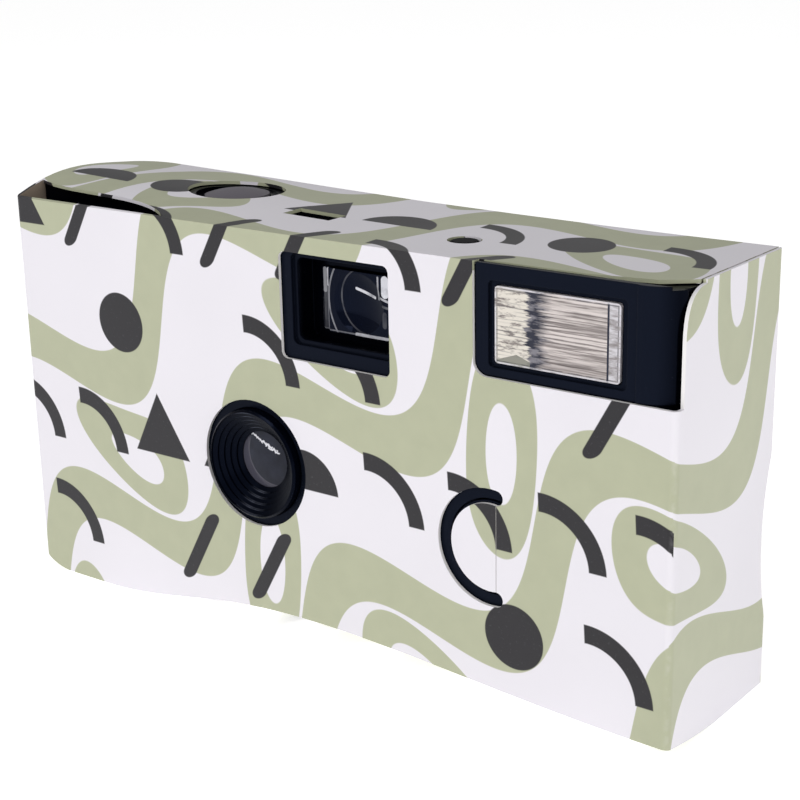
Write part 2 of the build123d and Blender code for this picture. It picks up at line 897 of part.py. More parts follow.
# Lens bezel with its stepped cone
with BuildPart() as lens_bezel:
    cone = []
    ring_width = (lip_radius - cone_radius) / cone_steps
    ring_depth = (cone_depth + lens_proud) / cone_steps
    for step in range(cone_steps):
        ring_radius = lip_radius - step * ring_width
        cone.append((ring_radius, step * ring_depth - lens_proud))
        cone.append((ring_radius, (step + cone_tread_share) * ring_depth - lens_proud))
    seat_depth = cone_depth + spring_seat
    flange_back = inner_inset + flange_thickness
    turned(
        lens_x,
        0,
        lens_z,
        (0, 1, 0),
        cone
        + [
            (cone_radius, cone_depth),
            (cone_radius, seat_depth),
            (glass_radius + running_gap, seat_depth),
            (glass_radius + running_gap, plate_depth),
            (barrel_radius, plate_depth),
            (barrel_radius, flange_back),
            (flange_radius, flange_back),
            (flange_radius, inner_inset),
            (barrel_radius, inner_inset),
            (barrel_radius, barrel_edge - lens_proud),
            (barrel_radius - barrel_edge, -lens_proud),
        ],
    )
save(lens_bezel, "lens_bezel")

# Single glass behind the cone
with BuildPart() as taking_lens:
    with BuildSketch(Plane.XY.offset(lens_z)):
        with BuildLine(Plane((lens_x, back(seat_depth), lens_z))):
            front_curve = ThreePointArc(
                (0, -glass_bulge),
                (cone_radius / 2, -glass_bulge * half_radius_share),
                (cone_radius - fit, 0),
            )
            glass_rear = glass_thickness - fit
            rear_curve = ThreePointArc(
                (0, glass_rear - glass_hollow),
                (retainer_bore / 2, glass_rear - glass_hollow * half_radius_share),
                (retainer_bore, glass_rear),
            )
            Polyline(front_curve @ 1, (glass_radius, 0), (glass_radius, glass_rear), rear_curve @ 1)
            Line(front_curve @ 0, rear_curve @ 0)
        make_face()
    revolve(axis=Axis((lens_x, back(0), lens_z), (0, 1, 0)))
save(taking_lens, "taking_lens")

# Shutter plate with the aperture, spacers and pivot pins
arm_way = (cos(radians(blade_arm_angle)), sin(radians(blade_arm_angle)))
blade_x = lens_x + blade_arm * arm_way[0]
blade_z = lens_z + blade_arm * arm_way[1]
striker_reach = blade_arm + blade_tail + striker_arm
striker_x = lens_x + striker_reach * arm_way[0]
striker_z = lens_z + striker_reach * arm_way[1]
plate_x = (lens_x - shutter_plate_left, lens_x + shutter_plate_right)
plate_z = (lens_z - shutter_plate_below, lens_z + shutter_plate_above)
plate_back = plate_depth + shutter_plate_thickness
spring_front = plate_depth - spring_height - spring_seat - spring_wire
with BuildPart() as shutter_plate:
    block(plate_x, (plate_depth, plate_back), plate_z)
    for spacer_x, spacer_z in (
        (plate_x[0] + spacer_inset, plate_z[0] + spacer_inset),
        (plate_x[1] - spacer_inset, plate_z[0] + spacer_inset),
        (plate_x[1] - spacer_inset, plate_z[1] - spacer_inset),
    ):
        rod(spacer_x, spacer_z, spacer_radius, (plate_back, frame_front))
    for pin_x, pin_z in ((blade_x, blade_z), (striker_x, striker_z)):
        rod(pin_x, pin_z, pin_radius, (spring_front, frame_front))
    rod(lens_x, lens_z, aperture_radius, (0, frame_front), mode=Mode.SUBTRACT)
save(shutter_plate, "shutter_plate")

# Shutter blade and the striker that kicks it open
with BuildPart() as shutter_blade:
    layer = (blade_depth, blade_depth + blade_thickness)
    lever(blade_x, blade_z, blade_arm, blade_tail, blade_arm_angle - 180, blade_width, layer)
    rod(lens_x, lens_z, blade_radius, layer)
save(shutter_blade, "shutter_blade")

with BuildPart() as striker_lever:
    layer = (striker_depth, striker_depth + blade_thickness)
    lever(striker_x, striker_z, striker_arm, striker_tail, blade_arm_angle - 180, striker_width, layer)
save(striker_lever, "striker_lever")


def torsion_spring(x, z, leg_angles):
    """A small coil round a pivot pin, with two straight legs that leave it along tangents."""
    first_depth = plate_depth - spring_height - spring_seat
    coil(x, first_depth, z, (0, 1, 0), spring_radius, spring_pitch, spring_height)
    for leg_depth, leg_angle in zip((first_depth, first_depth + spring_height), leg_angles):
        side = (spring_radius * sin(radians(leg_angle)), spring_radius * cos(radians(leg_angle)))
        with Locations(Location((x + side[0], back(leg_depth), z - side[1]), (0, 90 - leg_angle, 0))):
            with Locations((0, 0, spring_leg / 2)):
                Cylinder(spring_wire / 2, spring_leg)


with BuildPart() as shutter_spring:
    torsion_spring(blade_x, blade_z, blade_spring_angles)
save(shutter_spring, "shutter_spring")

with BuildPart() as striker_spring:
    torsion_spring(striker_x, striker_z, striker_spring_angles)
save(striker_spring, "striker_spring")

# Main frame: dark chamber, film gate, film chambers and deck
sprocket_radius = perforation_pitch * sprocket_teeth / (2 * pi)
sprocket_depth = film_depth - sprocket_radius
stem_x = button_x + stem_offset * cos(radians(stem_angle))
stem_depth = button_depth + stem_offset * sin(radians(stem_angle))
pawl_x = cassette_x + sqrt(wheel_radius**2 - (cassette_depth - pawl_depth) ** 2) + pawl_tip_gap
pawl_z = wheel_z + spring_wire
pawl_post_x = pawl_x + pawl_length
ring_open = gate_depth + fit


with BuildPart() as funnel_outer:
    with BuildSketch(facing(frame_front)):
        with Locations((lens_x, lens_z)):
            Rectangle(funnel_front_width + 2 * funnel_wall, funnel_front_height + 2 * funnel_wall)
    with BuildSketch(facing(film_depth)):
        with Locations((lens_x, lens_z)):
            Rectangle(gate_width + 2 * funnel_wall, gate_height + 2 * funnel_wall)
    loft()

with BuildPart() as funnel_inner:
    with BuildSketch(facing(frame_wall_back)):
        with Locations((lens_x, lens_z)):
            Rectangle(funnel_front_width, funnel_front_height)
    with BuildSketch(facing(film_depth)):
        with Locations((lens_x, lens_z)):
            Rectangle(gate_width, gate_height)
    loft()

with BuildPart() as main_frame:
    add(funnel_outer.part)
    block(
        (lens_x - shutter_plate_left, lens_x + frame_right),
        (frame_front, frame_wall_back),
        (plate_z[0], deck_top),
    )
    block((gate_left, gate_right), (gate_depth, film_depth), (gate_bottom, deck_top))
    block((deck_left, deck_right), (frame_front, film_depth), (deck_z, deck_top))
    add(funnel_inner.part, mode=Mode.SUBTRACT)
    rod(lens_x, lens_z, light_hole, (0, gate_depth), mode=Mode.SUBTRACT)
    # Rails that guide the film's edges
    for rail_z in (film_low - rail_height - fit, film_high + fit):
        block((deck_left, gate_right), (film_depth, film_depth + rail_rise), (rail_z, rail_z + rail_height))
    # Cassette chamber and roll chamber, both open to the film
    pillar(cassette_x, cassette_depth, chamber_outer, (chamber_bottom, deck_z))
    pillar(roll_x, roll_depth, roll_outer, (roll_floor, deck_top))
    pillar(cassette_x, cassette_depth, chamber_bore, (chamber_bottom, deck_top), mode=Mode.SUBTRACT)
    pillar(roll_x, roll_depth, roll_bore, (roll_floor + chamber_wall, deck_z), mode=Mode.SUBTRACT)
    for ring_x, reach in ((cassette_x, chamber_outer), (roll_x, roll_outer)):
        open_x = (ring_x - reach, gate_left) if ring_x < lens_x else (gate_right, ring_x + reach)
        block(open_x, (ring_open, sleeve_depth), (-overrun, top_above), mode=Mode.SUBTRACT)
    for pin_z in ((roll_floor, roll_floor + roll_pin_length), (deck_top - roll_pin_length, deck_top)):
        pillar(roll_x, roll_depth, roll_pin, pin_z)
    # Room for the sprocket, and its bearing in the deck
    sprocket_room = sprocket_radius + sprocket_clear
    pillar(
        sprocket_x,
        sprocket_depth,
        sprocket_room,
        (sprocket_z - sprocket_clear, sprocket_z + sprocket_height + sprocket_clear),
        mode=Mode.SUBTRACT,
    )
    sprocket_bore = sprocket_shaft + running_gap
    pillar(sprocket_x, sprocket_depth, sprocket_bore, (deck_z, deck_top), mode=Mode.SUBTRACT)
    # Posts for the counter dial, the lock lever and the wheel's pawl
    pillar(dial_x, dial_depth, dial_post, (deck_top, dial_z - dial_collar_height - running_gap))
    pillar(dial_x, dial_depth, dial_hub, (deck_top, dial_z + dial_thickness))
    pillar(lock_x, lock_depth, lock_collar, (deck_top, lock_z - running_gap))
    pillar(lock_x, lock_depth, pin_radius, (deck_top, lock_z + lock_thickness + pawl_thickness))
    block(
        (pawl_post_x, pawl_post_x + chamber_wall),
        (pawl_depth - chamber_wall, pawl_depth + chamber_wall),
        (deck_top, pawl_z + pawl_height),
    )
    # Guide of the shutter button's stem
    guide_x = (stem_x - guide_width / 2, stem_x + guide_width / 2)
    guide_back = stem_depth + guide_width / 2
    block(guide_x, (stem_depth - guide_width / 2, guide_back), (guide_z, guide_z + guide_thickness))
    block(guide_x, (guide_back - guide_wall, guide_back), (deck_z, guide_z + guide_thickness))
    guide_bore = stem_radius + running_gap
    pillar(stem_x, stem_depth, guide_bore, (guide_z, guide_z + guide_thickness), mode=Mode.SUBTRACT)
    # Cradles of the capacitor
    for cradle_z in (cradle_low_z, cradle_high_z):
        block(
            (lens_x + frame_right - overrun, capacitor_x),
            (frame_front, capacitor_depth + capacitor_radius),
            (cradle_z, cradle_z + cradle_thickness),
        )
    pillar(capacitor_x, capacitor_depth, capacitor_radius + fit, (capacitor_z, deck_z), mode=Mode.SUBTRACT)
save(main_frame, "main_frame")

# Film cassette
cassette_top = cassette_floor_z + cassette_height
mouth_depth = film_depth + film_thickness / 2
mouth_front = mouth_depth - mouth_thickness / 2
with BuildPart() as cassette_shell:
    mouth_low = cassette_floor_z + cap_height
    mouth_high = cassette_top - cap_height
    pillar(cassette_x, cassette_depth, cassette_radius, (cassette_floor_z, cassette_top))
    block(
        (cassette_x + cassette_radius / 2, mouth_end_x),
        (mouth_front, mouth_front + mouth_thickness),
        (mouth_low, mouth_high),
    )
    bore = cassette_radius - cassette_skin
    pillar(cassette_x, cassette_depth, bore, (cassette_floor_z, cassette_top), mode=Mode.SUBTRACT)
    block(
        (cassette_x + cassette_radius / 2, mouth_end_x),
        (mouth_depth - mouth_slot / 2, mouth_depth + mouth_slot / 2),
        (mouth_low, mouth_high),
        mode=Mode.SUBTRACT,
    )
save(cassette_shell, "cassette_shell")


def cassette_cap(end_z, way):
    """A pressed end cap whose skirt grips the shell; way is up or down."""
    with BuildPart() as cap:
        outer = sorted((end_z + way * cassette_skin, end_z - way * (cap_height - cassette_skin)))
        inner = sorted((end_z, end_z - way * cap_height))
        pillar(cassette_x, cassette_depth, cap_radius, outer)
        pillar(cassette_x, cassette_depth, cassette_radius, inner, mode=Mode.SUBTRACT)
        pillar(cassette_x, cassette_depth, spool_end_radius + fit, outer, mode=Mode.SUBTRACT)
    return cap


save(cassette_cap(cassette_top, 1), "cassette_cap_top")
save(cassette_cap(cassette_floor_z, -1), "cassette_cap_bottom")

with BuildPart() as cassette_spool:
    core_z = (cassette_floor_z + flange_height, cassette_top - flange_height)
    end_z = (cassette_floor_z - cassette_skin - fit, cassette_top + spool_end_height)
    pillar(cassette_x, cassette_depth, spool_end_radius, end_z)
    pillar(cassette_x, cassette_depth, spool_radius, core_z)
    for flange_z in (core_z[0], core_z[1] - flange_height):
        pillar(cassette_x, cassette_depth, bore - chamber_gap, (flange_z, flange_z + flange_height))
    pillar(cassette_x, cassette_depth, spool_bore, (core_z[1] - spool_radius, end_z[1]), mode=Mode.SUBTRACT)
    block(
        (cassette_x - key_width / 2, cassette_x + key_width / 2),
        (cassette_depth - spool_bore - fit, cassette_depth + spool_bore + fit),
        (core_z[1] - spool_radius, end_z[1] - flange_height),
    )
save(cassette_spool, "cassette_spool")

# Film, drawn off the roll and led across the gate into the cassette
with BuildPart() as film_strip:
    block(
        (mouth_end_x - mouth_thickness, roll_x),
        (film_depth, film_back),
        (film_low, film_high),
    )
    hole_count = int((roll_x - mouth_end_x) / perforation_pitch)
    hole_middle = (roll_x + mouth_end_x) / 2
    for hole_z in (film_low + perforation_edge, film_high - perforation_edge - perforation_height):
        with Locations((hole_middle, back(mouth_depth), hole_z + perforation_height / 2)):
            with GridLocations(perforation_pitch, perforation_pitch, hole_count, 1):
                Box(perforation_width, overrun, perforation_height, mode=Mode.SUBTRACT)
save(film_strip, "film_strip")

with BuildPart() as film_roll:
    pillar(roll_x, roll_depth, roll_radius, (film_low, film_high))
    pillar(roll_x, roll_depth, supply_radius + fit, (film_low, film_high), mode=Mode.SUBTRACT)
save(film_roll, "film_roll")

with BuildPart() as supply_spool:
    supply_z = (film_low - flange_height - spring_seat, film_high + flange_height + spring_seat)
    pillar(roll_x, roll_depth, supply_radius, supply_z)
    pillar(roll_x, roll_depth, supply_flange, (supply_z[0], supply_z[0] + flange_height))
    pillar(roll_x, roll_depth, supply_flange, (supply_z[1] - flange_height, supply_z[1]))
    pillar(roll_x, roll_depth, roll_pin + running_gap, supply_z, mode=Mode.SUBTRACT)
save(supply_spool, "supply_spool")

# Winding wheel with its teeth, web, fork and shaft
with BuildPart() as thumbwheel:
    with BuildSketch(Plane.XY.offset(wheel_z)):
        with BuildLine():
            rim_points = []
            tooth_radii = (wheel_radius - wheel_tooth, wheel_radius, wheel_radius)
            for tooth in range(wheel_teeth):
                for share, radius in zip(tooth_shares, tooth_radii):
                    turn = 2 * pi * (tooth + share) / wheel_teeth
                    rim_x = cassette_x + radius * cos(turn)
                    rim_y = back(cassette_depth) + radius * sin(turn)
                    rim_points.append((rim_x, rim_y))
            Polyline(*rim_points, close=True)
        make_face()
    extrude(amount=wheel_thickness)
    hollow = wheel_radius - wheel_tooth - wheel_rim
    for hollow_z in (
        (wheel_z, wheel_z + (wheel_thickness - wheel_web) / 2),
        (wheel_top - (wheel_thickness - wheel_web) / 2, wheel_top),
    ):
        pillar(cassette_x, cassette_depth, hollow, hollow_z, mode=Mode.SUBTRACT)
        pillar(cassette_x, cassette_depth, wheel_hub, hollow_z)
    pillar(cassette_x, cassette_depth, wheel_shaft, (wheel_top, bearing_top - spring_seat))
    pillar(cassette_x, cassette_depth, fork_radius, (fork_low, wheel_z))
    block(
        (cassette_x - fork_slot / 2, cassette_x + fork_slot / 2),
        (cassette_depth - fork_radius, cassette_depth + fork_radius),
        (fork_low, wheel_z),
        mode=Mode.SUBTRACT,
    )
save(thumbwheel, "thumbwheel")

with BuildPart() as wheel_pawl:
    block(
        (pawl_x, pawl_post_x),
        (pawl_depth - pawl_thickness / 2, pawl_depth + pawl_thickness / 2),
        (pawl_z, pawl_z + pawl_height),
    )
save(wheel_pawl, "wheel_pawl")

# Sprocket that the film turns, with the cam that cocks the shutter
with BuildPart() as sprocket_wheel:
    sprocket_root = sprocket_radius - tooth_height - running_gap
    sprocket_high = sprocket_z + sprocket_height
    pillar(sprocket_x, sprocket_depth, sprocket_root, (sprocket_z, sprocket_high))
    with Locations((sprocket_x, back(sprocket_depth), sprocket_z + sprocket_height / 2)):
        with PolarLocations((sprocket_radius - running_gap) / 2, sprocket_teeth):
            Box(sprocket_radius - running_gap, tooth_width, sprocket_height)
    pillar(sprocket_x, sprocket_depth, sprocket_shaft, (sprocket_high, sprocket_top))
save(sprocket_wheel, "sprocket_wheel")

with BuildPart() as metering_cam:
    cam_top = cam_z + cam_height
    pillar(sprocket_x, sprocket_depth, cam_radius, (cam_z, cam_top))
    with Locations((sprocket_x - cam_radius, back(sprocket_depth), cam_z + cam_height / 2)):
        Box(cam_notch, cam_notch, cam_height, mode=Mode.SUBTRACT)
    pillar(sprocket_x, sprocket_depth, sprocket_shaft, (cam_z, cam_top), mode=Mode.SUBTRACT)
save(metering_cam, "metering_cam")

# Frame counter with its pane
with BuildPart() as counter_dial:
    pillar(dial_x, dial_depth, dial_radius, (dial_z, dial_z + dial_thickness))
    pillar(dial_x, dial_depth, dial_collar, (dial_z - dial_collar_height, dial_z))
    dial_bore = dial_hub + running_gap
    pillar(dial_x, dial_depth, dial_bore, (dial_z - dial_collar_height, wheel_top), mode=Mode.SUBTRACT)
    with Locations((dial_x, back(dial_depth), dial_z + dial_thickness)):
        with PolarLocations(dial_mark_radius, dial_marks):
            Box(dial_mark_length, dial_mark_width, 2 * dial_mark_sink, mode=Mode.SUBTRACT)
save(counter_dial, "counter_dial")

with BuildPart() as counter_window:
    half_width = counter_width / 2
    half_length = counter_length / 2
    block(
        (counter_x - half_width, counter_x + half_width),
        (counter_depth - half_length, counter_depth + half_length),
        (counter_pane_z, counter_pane_z + counter_pane),
    )
    block(
        (counter_x - half_width - counter_flange, counter_x + half_width + counter_flange),
        (counter_depth - half_length - counter_flange, counter_depth + half_length + counter_flange),
        (counter_pane_z - counter_flange_height, counter_pane_z),
    )
save(counter_window, "counter_window")

# Shutter button with its stem and spring
with BuildPart() as shutter_button:
    flange_low = button_flange_top - button_flange_height
    dome_start = button_top - button_dome
    turned(
        button_x,
        button_depth,
        flange_low,
        (0, 0, 1),
        [
            (0, 0),
            (button_flange, 0),
            (button_flange, button_flange_height),
            (button_radius, button_flange_height),
            (button_radius, dome_start - flange_low),
            (0, dome_start - flange_low),
        ],
    )
    dome_radius = (button_radius**2 + button_dome**2) / (2 * button_dome)
    with BuildSketch(Plane((button_x, back(button_depth), dome_start), (1, 0, 0), (0, -1, 0))) as dome:
        with BuildLine():
            dome_arc = CenterArc(
                (0, button_dome - dome_radius),
                dome_radius,
                90 - degrees(atan2(button_radius, dome_radius - button_dome)),
                degrees(atan2(button_radius, dome_radius - button_dome)),
            )
            Polyline(dome_arc @ 1, (0, 0), dome_arc @ 0)
        make_face()
    revolve(dome.sketch, axis=Axis((button_x, back(button_depth), dome_start), (0, 0, 1)))
    pillar(stem_x, stem_depth, stem_radius, (stem_tip_z, flange_low))
save(shutter_button, "shutter_button")

guide_top = guide_z + guide_thickness
with BuildPart() as button_spring:
    spring_z = guide_top + spring_wire / 2
    spring_rise = flange_low - guide_top - spring_wire
    spring_turn = spring_rise / button_spring_turns
    coil(stem_x, stem_depth, spring_z, (0, 0, 1), button_spring_radius, spring_turn, spring_rise)
save(button_spring, "button_spring")

# Lever that locks the shutter until the film has moved on
with BuildPart() as lock_lever:
    stem_distance = sqrt((stem_x - lock_x) ** 2 + (stem_depth - lock_depth) ** 2)
    lock_reach = stem_distance - stem_radius - lock_end_gap
    lock_angle = degrees(atan2(stem_depth - lock_depth, stem_x - lock_x))
    with BuildSketch(Plane.XY.offset(lock_z)) as lock_shape:
        with Locations(Location((lock_x, back(lock_depth), 0), (0, 0, lock_angle))):
            with Locations(((lock_reach - lock_width / 2) / 2, 0)):
                SlotCenterToCenter(lock_reach - lock_width / 2, lock_width)
        with Locations((lock_x, back(lock_depth))):
            Circle(lock_collar)
            Circle(pin_radius + running_gap, mode=Mode.SUBTRACT)
    extrude(lock_shape.sketch, amount=lock_thickness)
    lock_pin_x = lock_x + lock_pin_reach * cos(radians(lock_angle))
    lock_pin_depth = lock_depth + lock_pin_reach * sin(radians(lock_angle))
    pillar(lock_pin_x, lock_pin_depth, lock_pin_radius, (cam_z, lock_z))
save(lock_lever, "lock_lever")

# Viewfinder: hollowed front lens, tunnel and eyepiece
with BuildPart() as viewfinder_front_lens:
    lens_back = finder_lens_front + finder_lens_thickness
    window(finder_lens_x, finder_lens_z, finder_lens_width, finder_lens_height, board,
           (finder_lens_front, lens_back), mode=Mode.ADD)
    # Hollows of the front and rear faces, and the sunken strip that the cover grips
    optic_x = finder_lens_x + finder_clip_width / 2
    dish_sphere = (finder_dish_radius**2 + finder_dish_depth**2) / (2 * finder_dish_depth)
    with Locations((optic_x, back(finder_lens_front + finder_dish_depth - dish_sphere), finder_lens_z)):
        Sphere(dish_sphere, mode=Mode.SUBTRACT)
    rear_sphere = (finder_rear_dish_radius**2 + finder_rear_dish_depth**2) / (2 * finder_rear_dish_depth)
    with Locations((optic_x, back(lens_back - finder_rear_dish_depth + rear_sphere), finder_lens_z)):
        Sphere(rear_sphere, mode=Mode.SUBTRACT)
    clip_left = finder_lens_x - finder_lens_width / 2
    block(
        (clip_left, clip_left + finder_clip_width),
        (0, finder_lens_front + finder_clip_step),
        (deck_top, front_height),
        mode=Mode.SUBTRACT,
    )
save(viewfinder_front_lens, "viewfinder_front_lens")

with BuildPart() as viewfinder_tunnel:
    tunnel_front = lens_back + tunnel_gap
    tunnel_back = eyepiece_depth - tunnel_gap
    tunnel_width = finder_lens_width + 2 * tunnel_wall
    tunnel_height = 2 * (finder_lens_z - deck_top)
    window(finder_lens_x, finder_lens_z, tunnel_width, tunnel_height, board,
           (tunnel_front, tunnel_back), mode=Mode.ADD)
    window(finder_lens_x, finder_lens_z, finder_lens_width, finder_lens_height, board,
           (tunnel_front, tunnel_back - tunnel_wall))
    tunnel_span = (tunnel_front, tunnel_back)
    window(finder_lens_x, finder_lens_z, eyepiece_width, eyepiece_height, board, tunnel_span)
save(viewfinder_tunnel, "viewfinder_tunnel")

with BuildPart() as viewfinder_rear_lens:
    eyepiece_back = eyepiece_depth + eyepiece_thickness
    window(finder_lens_x, finder_lens_z, eyepiece_width, eyepiece_height, board,
           (eyepiece_depth, eyepiece_back), mode=Mode.ADD)
    bulge_edge = eyepiece_height / 2 - board
    bulge_sphere = (bulge_edge**2 + eyepiece_bulge**2) / (2 * eyepiece_bulge)
    bulge_centre = eyepiece_back + eyepiece_bulge - bulge_sphere
    with BuildPart(mode=Mode.PRIVATE) as bulge:
        with Locations((finder_lens_x, back(bulge_centre), finder_lens_z)):
            Sphere(bulge_sphere)
        bulge_span = (eyepiece_back - board, sleeve_depth)
        rod(finder_lens_x, finder_lens_z, bulge_edge + fit, bulge_span, mode=Mode.INTERSECT)
    add(bulge.part)
save(viewfinder_rear_lens, "viewfinder_rear_lens")

# Flash: ribbed lens, reflector trough and tube
with BuildPart() as flash_lens:
    lens_step = inner_inset
    lens_rear = flash_lens_front + flash_lens_thickness
    window(flash_lens_x, flash_lens_z, flash_lens_width, flash_lens_height, board,
           (flash_lens_front, lens_rear), mode=Mode.ADD)
    window(flash_lens_x, flash_lens_z, flash_lens_width + 2 * flash_lens_flange,
           flash_lens_height + 2 * flash_lens_flange, board, (lens_step, lens_rear), mode=Mode.ADD)
    rib_pitch = (flash_lens_height - 2 * flash_rib_depth) / flash_lens_ribs
    rib_start = flash_lens_z - flash_lens_ribs * rib_pitch / 2
    rib_points = [(back(lens_rear + overrun), rib_start)]
    for rib in range(flash_lens_ribs):
        rib_foot = rib_start + rib * rib_pitch
        rib_points.append((back(lens_rear), rib_foot))
        rib_points.append((back(lens_rear - flash_rib_depth), rib_foot + rib_pitch / 2))
    rib_points.append((back(lens_rear), rib_start + flash_lens_ribs * rib_pitch))
    rib_points.append((back(lens_rear + overrun), rib_start + flash_lens_ribs * rib_pitch))
    with BuildSketch(Plane.YZ.offset(flash_lens_x)) as rib_shape:
        with BuildLine():
            Polyline(*rib_points, close=True)
        make_face()
    extrude(rib_shape.sketch, amount=flash_lens_width / 2, both=True, mode=Mode.SUBTRACT)
save(flash_lens, "flash_lens")


def trough(growth, half_length, mode):
    """An elliptical trough along the flash tube, open to the front."""
    with BuildSketch(Plane.YZ.offset(flash_lens_x)) as shape:
        with BuildLine():
            curve = EllipticalCenterArc(
                (back(lens_rear), flash_lens_z),
                reflector_depth + growth,
                flash_lens_height / 2 - fit + growth,
                start_angle=-90,
                arc_size=180,
            )
            Line(curve @ 1, curve @ 0)
        make_face()
    extrude(shape.sketch, amount=half_length, both=True, mode=mode)


with BuildPart() as flash_reflector:
    trough(reflector_skin, flash_lens_width / 2 + reflector_skin, Mode.ADD)
    trough(0, flash_lens_width / 2, Mode.SUBTRACT)
    tube_x = (flash_lens_x - flash_tube_length / 2, flash_lens_x + flash_tube_length / 2)
    axle(tube_x, flash_tube_depth, flash_lens_z, flash_tube_radius + fit, mode=Mode.SUBTRACT)
save(flash_reflector, "flash_reflector")

with BuildPart() as flash_tube:
    axle(tube_x, flash_tube_depth, flash_lens_z, flash_tube_radius)
    electrode_x = (tube_x[0] - flash_tube_cap, tube_x[1] + flash_tube_cap)
    axle(electrode_x, flash_tube_depth, flash_lens_z, electrode_radius)
save(flash_tube, "flash_tube")

# Flash button behind the board tongue, and the dome spring that it closes
with BuildPart() as flash_button:
    rod(tab_x, tab_z, flash_button_radius, (button_face, button_back))
    rod(tab_x, tab_z, flash_button_flange, (button_back, flange_rear))
save(flash_button, "flash_button")

with BuildPart() as switch_spring:
    with Locations((tab_x, back(circuit_depth - switch_rise / 2), tab_z)):
        Cone(switch_radius, switch_crown_radius, switch_rise, rotation=(90, 0, 0))
save(switch_spring, "switch_spring")

# Circuit board and what it carries
circuit_back = circuit_depth + circuit_thickness
with BuildPart() as circuit_board:
    block((circuit_left, circuit_right), (circuit_depth, circuit_back), (circuit_bottom, circuit_top))
    block(
        (circuit_left, circuit_left + circuit_notch),
        (circuit_depth, circuit_back),
        (circuit_top - circuit_notch / 2, circuit_top),
        mode=Mode.SUBTRACT,
    )
    for spot_x, spot_z in post_spots:
        rod(spot_x, spot_z, screw_shank, (circuit_depth, circuit_back), mode=Mode.SUBTRACT)
save(circuit_board, "circuit_board")

with BuildPart() as circuit_screws:
    for spot_x, spot_z in post_spots:
        rod(spot_x, spot_z, screw_head, (circuit_back, circuit_back + screw_head_height))
        rod(spot_x, spot_z, screw_shank, (screw_depth, circuit_back))
save(circuit_screws, "circuit_screws")

with BuildPart() as transformer:
    half = transformer_size / 2
    block(
        (transformer_x - half, transformer_x + half),
        (circuit_back, circuit_back + transformer_size),
        (transformer_z - half, transformer_z + half),
    )
    for cut_z in (
        (transformer_z - half, transformer_z - half + transformer_size / 6),
        (transformer_z + half - transformer_size / 6, transformer_z + half),
    ):
        block(
            (transformer_x - winding_width / 2, transformer_x + winding_width / 2),
            (circuit_back + transformer_size / 6, circuit_back + transformer_size * 5 / 6),
            cut_z,
            mode=Mode.SUBTRACT,
        )
save(transformer, "transformer")

with BuildPart() as trigger_coil:
    coil_rear = circuit_back + coil_height
    rod(coil_x, coil_z, coil_width / 2, (circuit_back, coil_rear))
    rod(coil_x, coil_z, coil_width / 2 - board, (circuit_back + board, coil_rear), mode=Mode.SUBTRACT)
    rod(coil_x, coil_z, coil_width / 2 - 2 * board, (circuit_back + board, coil_rear))
save(trigger_coil, "trigger_coil")

with BuildPart() as capacitor:
    capacitor_top = capacitor_z + capacitor_length
    pillar(capacitor_x, capacitor_depth, capacitor_radius, (capacitor_z, capacitor_top))
    ring_edges = capacitor.edges().filter_by(GeomType.CIRCLE)
    chamfer(ring_edges, board)
save(capacitor, "capacitor")

with BuildPart() as battery:
    battery_left = battery_x - battery_length / 2
    battery_right = battery_x + battery_length / 2
    axle((battery_left, battery_right - terminal_length), battery_depth, battery_z, battery_radius)
    chamfer(battery.edges().filter_by(GeomType.CIRCLE), board)
    axle((battery_left, battery_right), battery_depth, battery_z, terminal_radius)
save(battery, "battery")


def battery_contact(x):
    """A springy strip at one end of the battery."""
    with BuildPart() as contact:
        block(
            x,
            (battery_depth - contact_width / 2, battery_depth + contact_width / 2),
            (battery_z - contact_height / 2, battery_z + contact_height / 2),
        )
        fillet(contact.edges().filter_by(Axis.X), board)
    return contact


save(battery_contact((battery_left - contact_thickness, battery_left)), "battery_contact_left")
save(battery_contact((battery_right, battery_right + contact_thickness)), "battery_contact_right")

with BuildPart() as sync_contact:
    sync_span = (sync_z - sync_height / 2, sync_z + sync_height / 2)
    block((sync_x, sync_x + contact_thickness), (frame_front - sync_reach, frame_front), sync_span)
    sync_foot = (frame_front - blade_thickness, frame_front)
    block((sync_x - overrun, sync_x + contact_thickness), sync_foot, sync_span)
save(sync_contact, "sync_contact")

# Flash ready lamp and its light pipe
with BuildPart() as ready_lamp:
    pillar(lamp_x, lamp_depth, lamp_radius, (deck_top, deck_top + lamp_length))
    fillet(ready_lamp.edges().filter_by(GeomType.CIRCLE).sort_by(Axis.Z)[-1], lamp_radius - fit)
save(ready_lamp, "ready_lamp")

with BuildPart() as light_pipe:
    pillar(lamp_x, lamp_depth, pipe_stem, (deck_top + lamp_length + chamber_gap, pipe_top))
    pillar(lamp_x, lamp_depth, pipe_radius, (pipe_top - pipe_head + fit, pipe_top))
    fillet(light_pipe.edges().filter_by(GeomType.CIRCLE).sort_by(Axis.Z)[-1], board)
save(light_pipe, "light_pipe")
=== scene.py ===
"""Looks of the disposable film camera: board, moulded plastic, clear optics and the flash."""

from math import cos, radians, sin, tau

import bpy
from mathutils import Matrix, Vector


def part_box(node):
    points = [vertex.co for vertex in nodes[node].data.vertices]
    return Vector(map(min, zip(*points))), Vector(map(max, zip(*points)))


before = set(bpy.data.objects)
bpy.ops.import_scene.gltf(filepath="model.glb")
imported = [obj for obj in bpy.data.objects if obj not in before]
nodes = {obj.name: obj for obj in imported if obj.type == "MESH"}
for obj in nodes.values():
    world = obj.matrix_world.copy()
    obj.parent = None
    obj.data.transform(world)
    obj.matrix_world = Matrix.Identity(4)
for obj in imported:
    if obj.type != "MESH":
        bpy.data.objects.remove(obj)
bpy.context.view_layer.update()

MM = 0.001

